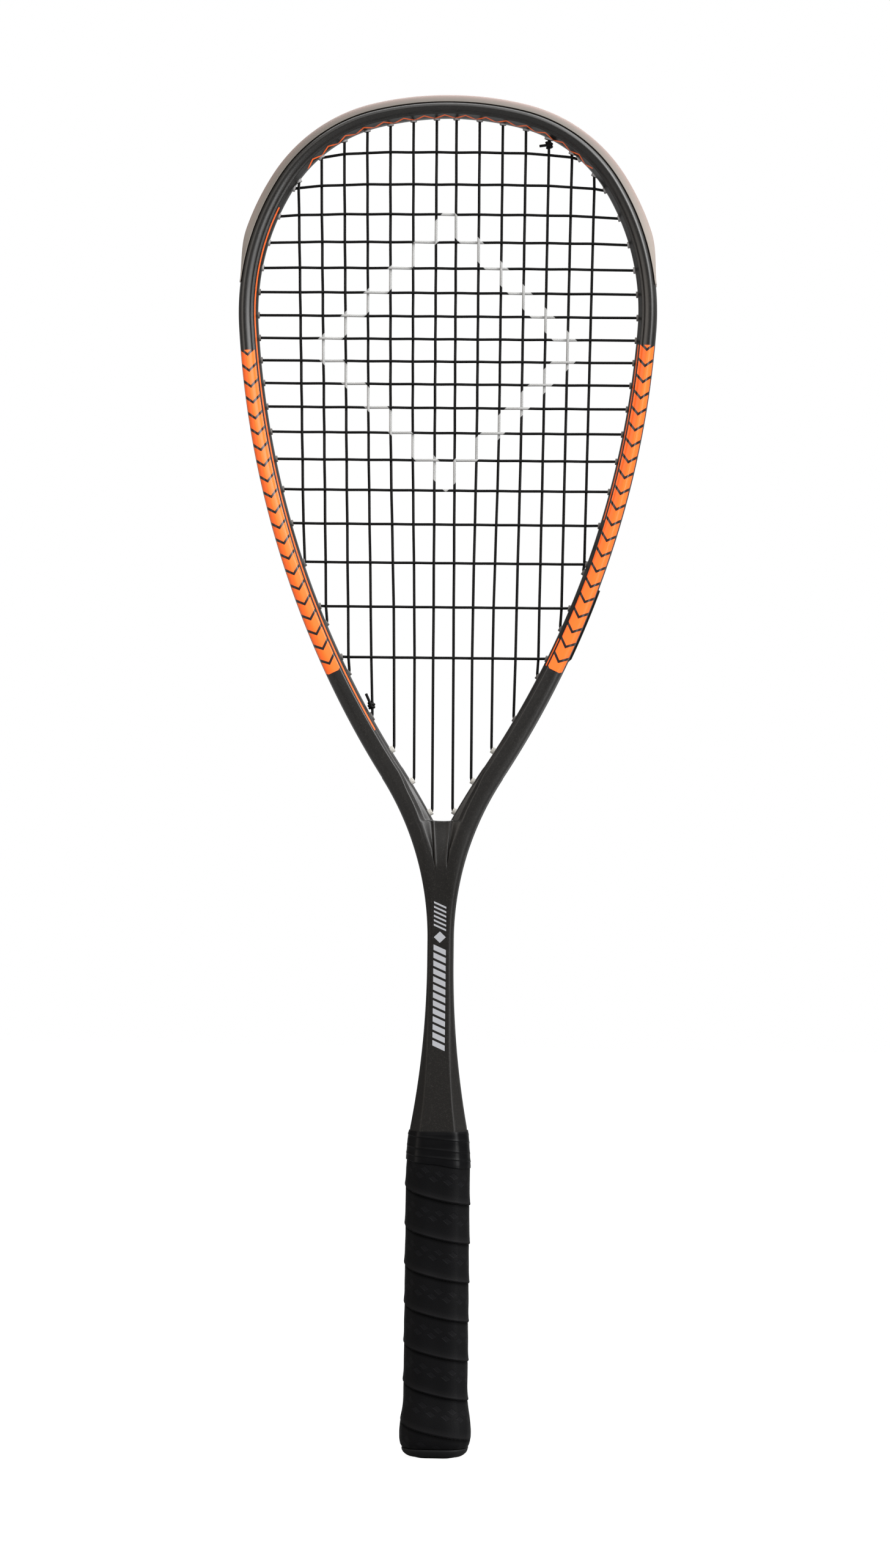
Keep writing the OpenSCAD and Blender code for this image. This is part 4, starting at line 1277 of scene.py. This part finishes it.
def orange_paint(mat, y, z, front):
    """Mask of the orange on the head: bars, thin lines and a zigzag."""
    arc, frac = mat.attr("arc"), mat.attr("frac")
    masks = []
    for side, (bar_ends, line_ends) in MARKINGS.items():
        along = arc * float(side)
        top, bottom = (s_at_height(end) for end in bar_ends)
        # each bar's two ends are the same shallow chevron
        chevron = (frac - .40).abs() * 9.0
        phase = (along - top + chevron - 3.2) / ((bottom - top) / BAR_COUNT)
        inside = along.between(top, bottom - .8, soft=.12)
        bar = phase.frac().between(.0, .80, soft=.03)
        masks.append(bar * inside * frac.between(.035, .775, soft=.012) * front)
        # thin lines along the inner edge of the face, with slanted ends
        for ends in line_ends:
            first, last = (s_at_height(end) + 4.3 for end in ends)
            line = (frac.between(.85, .905, soft=.012)
                    * (along + frac * 5.0).between(first, last, soft=.12))
            masks.append(line * front * .82)
    # a plain zigzag on the inner slope across the crown: 10.6 mm long, 3.6 deep, 1.9 off centre
    depth = y * -1.0
    wave = ((arc / 10.6 + .23).frac() - .5).abs() * 2.0
    zigzag = (depth - (wave * 3.6 + 1.9)).abs().below(.62, soft=.2)
    crown = (arc.between(-82, 82, soft=.3) * frac.above(.80, soft=.01)
             * z.above(560, soft=1.0))
    masks.append(zigzag * crown * depth.above(.8, soft=.5))
    paint = masks[0]
    for mask in masks[1:]:
        paint = paint.max(mask)
    return paint * z.above(356, soft=.5)


def silver_paint(x, z, front):
    """Mask of the shaft mark: slanted bars, a small rhombus above them, then thin lines."""
    off_centre = x.abs()
    slant = z + x * .45
    phase = ((slant - 206.0) / 4.0).frac()
    bars = (off_centre.below(3.1, soft=.12) * slant.between(206, 258, soft=.15)
            * phase.between(.06, .74, soft=.03))
    rhombus = (off_centre + (z - 262.0).abs() * 1.05).below(3.0, soft=.12)
    phase = ((slant - 266.0) / 2.25).frac()
    lines = (off_centre.below(3.1, soft=.12) * slant.between(266.2, 279.5, soft=.15)
             * phase.between(.2, .62, soft=.06))
    return bars.max(rhombus).max(lines) * front


def lacquer():
    mat = Material("graphite_lacquer")
    x, y, z = mat.position()
    front = (y * -1.0).above(.5, soft=.6)
    # flake: small cells of different brightness under a clear coat
    small, large = mat.cell_colours(4200), mat.cell_colours(2300)
    grain = mat.noise(900, detail=2, rough=.6)
    cloud = mat.noise(22, rough=.5)
    fleck = small[0].above(.90, soft=.06) * .9 + large[1].above(.93, soft=.05) * .7
    base = mat.mix(srgb(13, 12, 11), srgb(23, 21, 19), (grain * .55 + cloud * .35).clip())
    base = mat.mix(base, srgb(84, 81, 76), (fleck * .11).clip())
    # paint worn a little thinner along the outer edge
    scuff = mat.noise(160, detail=4, rough=.65)
    worn = mat.attr("frac").between(.0, .05, soft=.03) * scuff.above(.63, soft=.05)
    base = mat.mix(base, srgb(70, 66, 61), worn * .4)
    paint = orange_paint(mat, y, z, front)
    silver = silver_paint(x, z, front)
    colour = mat.mix(base, ORANGE, paint * .985)
    colour = mat.mix(colour, SILVER, silver * .96)
    # ink is rougher and less metallic than bare lacquer, the shaft duller than the head
    ink = paint.max(silver)
    dull = z.below(320, soft=70)
    peel = mat.noise(330, detail=2, rough=.5)
    height = peel * .35 + (small[2] * .05) * (1.0 - ink) + ink * .9
    mat.set(Base_Color=colour, Metallic=(1.0 - ink) * .10,
            Roughness=(grain * .08 + .30 + cloud * .06 + dull * .18) * (1.0 - ink * .12),
            Specular_IOR_Level=(1.0 - ink * .55) * (1.0 - dull * .6) * .42,
            Coat_Weight=(1.0 - ink * .7) * (1.0 - dull * .7) * .6,
            Coat_Roughness=mat.noise(60, detail=2, rough=.5) * .08 + .20, Coat_IOR=1.45,
            Normal=mat.bump(height, distance=.000022, strength=.5),
            Coat_Normal=mat.bump(peel * .5 + ink * .8, distance=.00002, strength=.3))
    return mat.data


def guard_nylon():
    mat = Material("translucent_guard_nylon")
    x, y, z = mat.position()
    part = mat.attr("part")
    broad = mat.noise(40, rough=.5)
    fine = mat.noise(700, detail=2, rough=.6)
    mould = mat.noise(9, detail=2, rough=.5)
    # pinker and lighter near the rim, greyer against the dark tube
    off_centre = (y.abs() / 8.6).clip()
    body = mat.mix(srgb(172, 158, 151), srgb(196, 157, 148), z.above(640, soft=60))
    body = mat.mix(body, srgb(138, 131, 124), (off_centre * 1.25 - .22 + broad * .12).clip())
    body = mat.mix(body, srgb(132, 116, 110), (mould.above(.55, soft=.3) * .16).clip())
    # painted shade: the guard's colour darkens to about half towards the crown, standing in for
    # less light falling there
    body = mat.mix(body, mat.darker(body, .52), z.above(628, soft=70))
    barrels = mat.mix(srgb(168, 166, 166), srgb(134, 132, 132), broad)
    scratch = mat.noise(420, detail=4, rough=.7, vector=mat.vector(x * .001, y * .004, z * .001))
    mat.set(Base_Color=mat.mix(body, barrels, part), Roughness=fine * .05 + .50 + scratch * .05,
            Specular_IOR_Level=.26, Transmission_Weight=part * .22, IOR=1.5,
            Normal=mat.bump(fine * .15 + scratch * .2 + mould * .6, distance=.000010,
                            strength=.2))
    return mat.data


def clear_nylon():
    mat = Material("clear_nylon")
    fine, broad = mat.noise(260), mat.noise(55, detail=2, rough=.5)
    mat.set(Base_Color=mat.mix(srgb(214, 212, 206), srgb(176, 172, 164),
                               (broad * .7 + fine * .3).clip()),
            Roughness=fine * .16 + .30, Transmission_Weight=.30, IOR=1.5,
            Specular_IOR_Level=.45, Subsurface_Weight=.2,
            Subsurface_Radius=(.002, .002, .002), Subsurface_Scale=.5,
            Normal=mat.bump(fine, distance=.00005, strength=.4))
    return mat.data


def strip_nylon():
    mat = Material("strip_nylon")
    fine, broad = mat.noise(300), mat.noise(45, detail=2, rough=.5)
    strip = mat.mix(srgb(30, 29, 29), srgb(46, 44, 43), broad)
    barrels = mat.mix(srgb(70, 67, 65), srgb(94, 90, 87), broad)
    mat.set(Base_Color=mat.mix(strip, barrels, mat.attr("part")), Roughness=fine * .18 + .36,
            Specular_IOR_Level=.45,
            Normal=mat.bump(fine + broad * .5, distance=.00006, strength=.45))
    return mat.data


def string_nylon():
    mat = Material("string_nylon")
    x, z = mat.position("xz")
    along, angle = mat.attr("along"), mat.attr("round")
    normal_y = mat.split(mat.node("ShaderNodeNewGeometry").outputs["Normal"])[1]
    # fine fibres wound under a thin coat
    twist = ((along * 2.2 + angle * 1.59).sin() * .5
             + (along * 2.2 * 1.7 - angle * 3.18).sin() * .3)
    fuzz = mat.noise(900, rough=.6)
    wear = mat.noise(120, rough=.6)
    base = mat.mix(srgb(3, 3, 3), srgb(12, 12, 12),
                   (fuzz * .5 + wear.above(.6, soft=.15) * .4).clip())
    # stencil: a plain open rhombus 140 mm wide and 144 tall about z 558, on the front only
    rhombus = (x.abs() / 70.0 + (z - 558.0).abs() / 72.0).between(.83, 1.0, soft=.006)
    inked = rhombus * (normal_y * -1.0).above(-.05, soft=.5) * wear.below(.83, soft=.10)
    ink = mat.mix(srgb(157, 157, 156), srgb(143, 143, 142), fuzz)
    mat.set(Base_Color=mat.mix(base, ink, inked * .97), Roughness=fuzz * .16 + .44 + inked * .2,
            Specular_IOR_Level=.14,
            Normal=mat.bump(twist * .5 + fuzz * .4, distance=.00008, strength=.45))
    return mat.data


def grip_polyurethane():
    mat = Material("grip_polyurethane")
    turn, drop = mat.attr("turn"), mat.attr("drop")
    fine = mat.noise(1500, rough=.65)
    leather = mat.cell_distance(950, feature="DISTANCE_TO_EDGE")
    cloud = mat.noise(70)
    soft = mat.noise(24, rough=.5)
    # embossing: two rows of small lozenges, 6.4 mm apart along the wrap
    run = (turn * 90.0 + drop * .12) / 6.4

    def lozenges(phase, height):
        return ((phase.frac() - .5).abs() * 3.1 + (drop - height).abs() * .62).below(1.0, soft=.22)

    emboss = lozenges(run, 10.2).max(lozenges(run + .5, 13.6) * .8)
    base = mat.mix(srgb(2, 2, 3), srgb(8, 8, 9), (cloud * .6 + fine * .3).clip())
    # painted highlight: an uneven lighter band on the proud lower edge of each turn, where it
    # catches the light
    edge = drop.below(2.4, soft=2.6)
    base = mat.mix(base, srgb(34, 33, 34), (edge * (soft * .6 + .25)).clip() * .34)
    # painted shadow: a dark line on both sides of the seam, where the step between turns is shaded
    shade = drop.above(WRAP_PITCH - 1.2, soft=1.7).max(drop.below(.4, soft=.5))
    base = mat.mix(base, srgb(1, 1, 1), shade * .8)
    base = mat.mix(base, srgb(18, 18, 20), emboss * .3)
    pores = mat.bump(leather.op("MULTIPLY", 1.6, clamp=True) * .5 + fine * .5,
                     distance=.00012, strength=.45)
    mat.set(Base_Color=base, Roughness=fine * .14 + .50 + cloud * .08 - emboss * .05,
            Specular_IOR_Level=(1.0 - shade * .7) * .085, Sheen_Weight=.006, Sheen_Roughness=.5,
            Normal=mat.bump(emboss * -1.0 + cloud * .5, distance=.00022, strength=.5,
                            normal=pores))
    return mat.data


def finishing_vinyl():
    mat = Material("finishing_vinyl")
    broad, fine = mat.noise(180), mat.noise(600, detail=2, rough=.5)
    stretch = mat.noise(36, detail=4, rough=.6, distort=.6)
    x, y, z = mat.position()
    # long creases lie along the winding
    crease = mat.noise(1.0, rough=.5, vector=mat.vector(x * .012, y * .012, z * .42))
    mat.set(Base_Color=mat.mix(srgb(2, 2, 3), srgb(7, 7, 8), (broad * .5 + stretch * .4).clip()),
            Roughness=stretch * .12 + .26 + fine * .05, Specular_IOR_Level=.11,
            Normal=mat.bump(crease * 1.0 + fine * .05 + stretch * .15, distance=.0003,
                            strength=.4))
    return mat.data


def plain(name, dark, light, scale, rough, metallic=0.0, bump=.0001, spec=.45, fine_scale=800.0):
    """Even material mottled between two sRGB colours."""
    mat = Material(name)
    broad, fine = mat.noise(scale, detail=4, rough=.6), mat.noise(fine_scale, rough=.6)
    mat.set(Base_Color=mat.mix(srgb(*dark), srgb(*light), (broad * .65 + fine * .35).clip()),
            Roughness=fine * .2 + rough + broad * .08, Metallic=metallic,
            Specular_IOR_Level=spec,
            Normal=mat.bump(broad * .6 + fine * .6, distance=bump, strength=.5))
    return mat.data


def foam(name, dark, light):
    mat = Material(name)
    cells = mat.cell_distance(650)
    broad = mat.noise(50, detail=4, rough=.6)
    mat.set(Base_Color=mat.mix(srgb(*dark), srgb(*light), (broad * .6 + cells * .6).clip()),
            Roughness=broad * .2 + .68, Specular_IOR_Level=.2,
            Normal=mat.bump(cells * 1.0 + broad * .2, distance=.0003, strength=.6))
    return mat.data


materials = {
    "lacquered_composite": lacquer(),
    "guard_nylon": guard_nylon(),
    "clear_nylon": clear_nylon(),
    "strip_nylon": strip_nylon(),
    "string_nylon": string_nylon(),
    "grip_pu": grip_polyurethane(),
    "finishing_vinyl": finishing_vinyl(),
    "cap_plastic": plain("cap_plastic", (5, 5, 6), (13, 13, 14), scale=60, rough=.46, spec=.22,
                         fine_scale=1400.0),
    "handle_foam": foam("handle_foam", (138, 132, 118), (164, 158, 142)),
    "plug_foam": foam("plug_foam", (196, 182, 138), (224, 212, 170)),
    "staple_steel": plain("staple_steel", (160, 160, 162), (200, 200, 202), scale=300, rough=.25,
                          metallic=1.0, bump=.00003),
    "underlay_tape": plain("underlay_tape", (84, 84, 82), (110, 110, 107), scale=120, rough=.6,
                           fine_scale=1800.0),
}


def dress(ob, slot, replaced=None):
    ob.data.materials.clear()
    ob.data.materials.append(materials[slot])
    if replaced:
        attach(ob, "root")
        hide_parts(replaced)


for ob, slot, replaced in (
        (ob_frame, "lacquered_composite", "frame"),
        (ob_bumper, "guard_nylon", "bumper_guard"),
        (ob_strips[0], "strip_nylon", "grommet_strip_left"),
        (ob_strips[1], "strip_nylon", "grommet_strip_right"),
        (ob_throat[0], "clear_nylon", "throat_grommets_left"),
        (ob_throat[1], "clear_nylon", "throat_grommets_right"),
        (ob_mains, "string_nylon", "main_strings"),
        (ob_crosses, "string_nylon", "cross_strings"),
        (ob_knot_top, "string_nylon", "tie_off_knot_top"),
        (ob_knot_throat, "string_nylon", "tie_off_knot_throat"),
        (ob_grip, "grip_pu", "grip_tape"),
        (ob_underlay, "underlay_tape", "grip_underlay"),
        (ob_tape, "finishing_vinyl", "finishing_tape"),
        (ob_cap, "cap_plastic", "butt_cap")):
    dress(ob, slot, replaced)
for node_name, slot in (("handle_pallet", "handle_foam"), ("duct_plugs", "plug_foam"),
                        ("butt_staples", "staple_steel")):
    dress(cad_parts[node_name], slot)

# --------------------------------------------------------------------- studio
scene = bpy.context.scene
scene.view_settings.view_transform = "Standard"
scene.view_settings.look = "None"
scene.view_settings.exposure = 0.0
scene.view_settings.gamma = 1.0

FLOOR_HALF, FLOOR_POINTS = 4000, 48
FLOOR_TOP, FLOOR_FALL = -.05, 6.0     # height in the middle, drop at FLOOR_HALF from it


def studio_floor():
    """A pale sheet that falls away slightly, far wider than the view."""
    n = FLOOR_POINTS
    ticks = np.linspace(-FLOOR_HALF, FLOOR_HALF, n)
    verts = [[x, y, FLOOR_TOP - FLOOR_FALL * (math.hypot(x, y) / FLOOR_HALF) ** 2]
             for y in ticks for x in ticks]
    faces = [[i * n + j, i * n + j + 1, (i + 1) * n + j + 1, (i + 1) * n + j]
             for i in range(n - 1) for j in range(n - 1)]
    floor = add_mesh("floor", verts, faces)
    mat = Material("studio_floor")
    cloud = mat.noise(3.0, rough=.5)
    # the camera sees a glowing sheet, other rays a grey one
    seen = Value(mat.tree, mat.camera_ray())
    seen_colour = mat.mix((.05, .05, .05), (.07, .07, .07), cloud)
    mat.set(Base_Color=mat.mix((.20, .20, .20), seen_colour, seen), Roughness=cloud * .1 + .8,
            Specular_IOR_Level=.1, Emission_Color=(1, 1, 1, 1), Emission_Strength=seen * .955,
            Normal=mat.bump(mat.noise(400, detail=2, rough=.5), distance=.00002, strength=.2))
    floor.data.materials.append(mat.data)


studio_floor()


def aim(azimuth, elevation):
    """Direction in degrees: azimuth from the front towards the right, elevation upward."""
    azimuth, elevation = azimuth * DEGREE, elevation * DEGREE
    return (math.sin(azimuth) * math.cos(elevation), -math.cos(azimuth) * math.cos(elevation),
            math.sin(elevation))


# soft spots of light in the surroundings: direction, sharpness, strength
LOBES = [
    (aim(46, 36), 20, 1.9), (aim(-44, 38), 12, .8), (aim(64, -10), 26, 1.7),
    (aim(64, 13), 26, 3.0), (aim(66, 36), 22, 4.8), (aim(80, 58), 12, 2.6),
    ((0, -.80, .60), 14, 1.4), (aim(50, 27), 34, 4.2), ((0, -.15, 1), 4, 1.05),
    ((-.90, -.38, .12), 10, 1.7), ((.6, .5, .62), 8, .8), ((-.25, 1, .1), 4, .30)]
AMBIENT = .018


def studio_world():
    """Dark surroundings with soft spots, warm on the left; plain white to the camera."""
    world = bpy.data.worlds.new("studio")
    scene.world = world
    world.use_nodes = True
    world.node_tree.nodes.clear()
    kit = Nodes(world.node_tree)
    view = kit.split(kit.node("ShaderNodeTexCoord").outputs["Generated"])

    def lobe(direction, sharpness):
        x, y, z = (part * float(d) for part, d in zip(view, unit(direction)))
        return (x + y + z).max(0.0).pow(sharpness)

    def background(colour, strength):
        node = kit.node("ShaderNodeBackground")
        kit.put(node.inputs[0], colour)
        kit.put(node.inputs[1], strength)
        return node.outputs[0]

    spots = [lobe(direction, sharpness) * strength for direction, sharpness, strength in LOBES]
    light = spots[0]
    for spot in spots[1:]:
        light = light + spot
    tint = kit.mix((1.0, 1.0, 1.0), (1.0, .93, .86), lobe((-.95, -.25, 0), 2))
    choose = kit.node("ShaderNodeMixShader")
    kit.put(choose.inputs[0], kit.camera_ray())
    kit.put(choose.inputs[1], background(tint, light + AMBIENT))
    kit.put(choose.inputs[2], background((1, 1, 1, 1), 1.0))
    kit.put(kit.node("ShaderNodeOutputWorld").inputs[0], choose.outputs[0])


studio_world()


def lamp(name, location, target, size, power, colour=(1, 1, 1)):
    """Area light of size (width, height) in metres, turned to a target."""
    light = bpy.data.lights.new(name, "AREA")
    light.shape, light.energy, light.color = "RECTANGLE", power, colour
    light.size, light.size_y = size
    ob = bpy.data.objects.new(name, light)
    ob.location = location
    ob.rotation_euler = (Vector(target) - Vector(location)).to_track_quat("-Z", "Y").to_euler()
    scene.collection.objects.link(ob)
    ob.visible_camera = False
    return ob


lamp("panel_right", (1.30, -.68, 1.15), target=(0, 0, .42), size=(.4, 1.3), power=5)
lamp("panel_left", (-1.6, -.7, .45), target=(0, 0, .38), size=(.6, 1.5), power=2.5,
     colour=(1, .94, .87))
lamp("panel_low", (.95, -.68, .27), target=(0, 0, .62), size=(.40, .34), power=2.2)
lamp("floor_wash", (0, .9, 1.8), target=(0, .1, 0), size=(2.0, 1.0), power=26)
fill = lamp("front_fill", (.25, -2.2, 1.15), target=(0, 0, .36), size=(1.6, 1.2), power=29)
fill.visible_glossy = False

# --------------------------------------------------------------------- camera
CAMERA_DISTANCE, CAMERA_AZIMUTH, CAMERA_ROLL = 2.5, 2.5 * DEGREE, .66 * DEGREE
CAMERA_AIM = Vector((.0013, 0, .3390))
VIEW_HEIGHT = .7908                           # metres in view at the racket
SENSOR_HEIGHT, SENSOR_WIDTH = 24.0, 13.618083

camera_data = bpy.data.cameras.new("camera")
camera = bpy.data.objects.new("camera", camera_data)
scene.collection.objects.link(camera)
camera.location = CAMERA_AIM + Vector((math.sin(CAMERA_AZIMUTH) * CAMERA_DISTANCE,
                                       -math.cos(CAMERA_AZIMUTH) * CAMERA_DISTANCE, 0))
look = (CAMERA_AIM - camera.location).normalized()
level_right = look.cross(Vector((0, 0, 1))).normalized()
level_up = level_right.cross(look)
right = level_right * math.cos(CAMERA_ROLL) + level_up * math.sin(CAMERA_ROLL)
up = level_up * math.cos(CAMERA_ROLL) - level_right * math.sin(CAMERA_ROLL)
camera.rotation_mode = "QUATERNION"
camera.rotation_quaternion = Matrix((right, up, -look)).transposed().to_quaternion()
camera_data.sensor_fit = "VERTICAL"
camera_data.sensor_height = SENSOR_HEIGHT
camera_data.sensor_width = SENSOR_WIDTH
camera_data.lens = SENSOR_HEIGHT / 2 / (VIEW_HEIGHT / 2 / CAMERA_DISTANCE)
camera_data.clip_start, camera_data.clip_end = .05, 50
scene.camera = camera
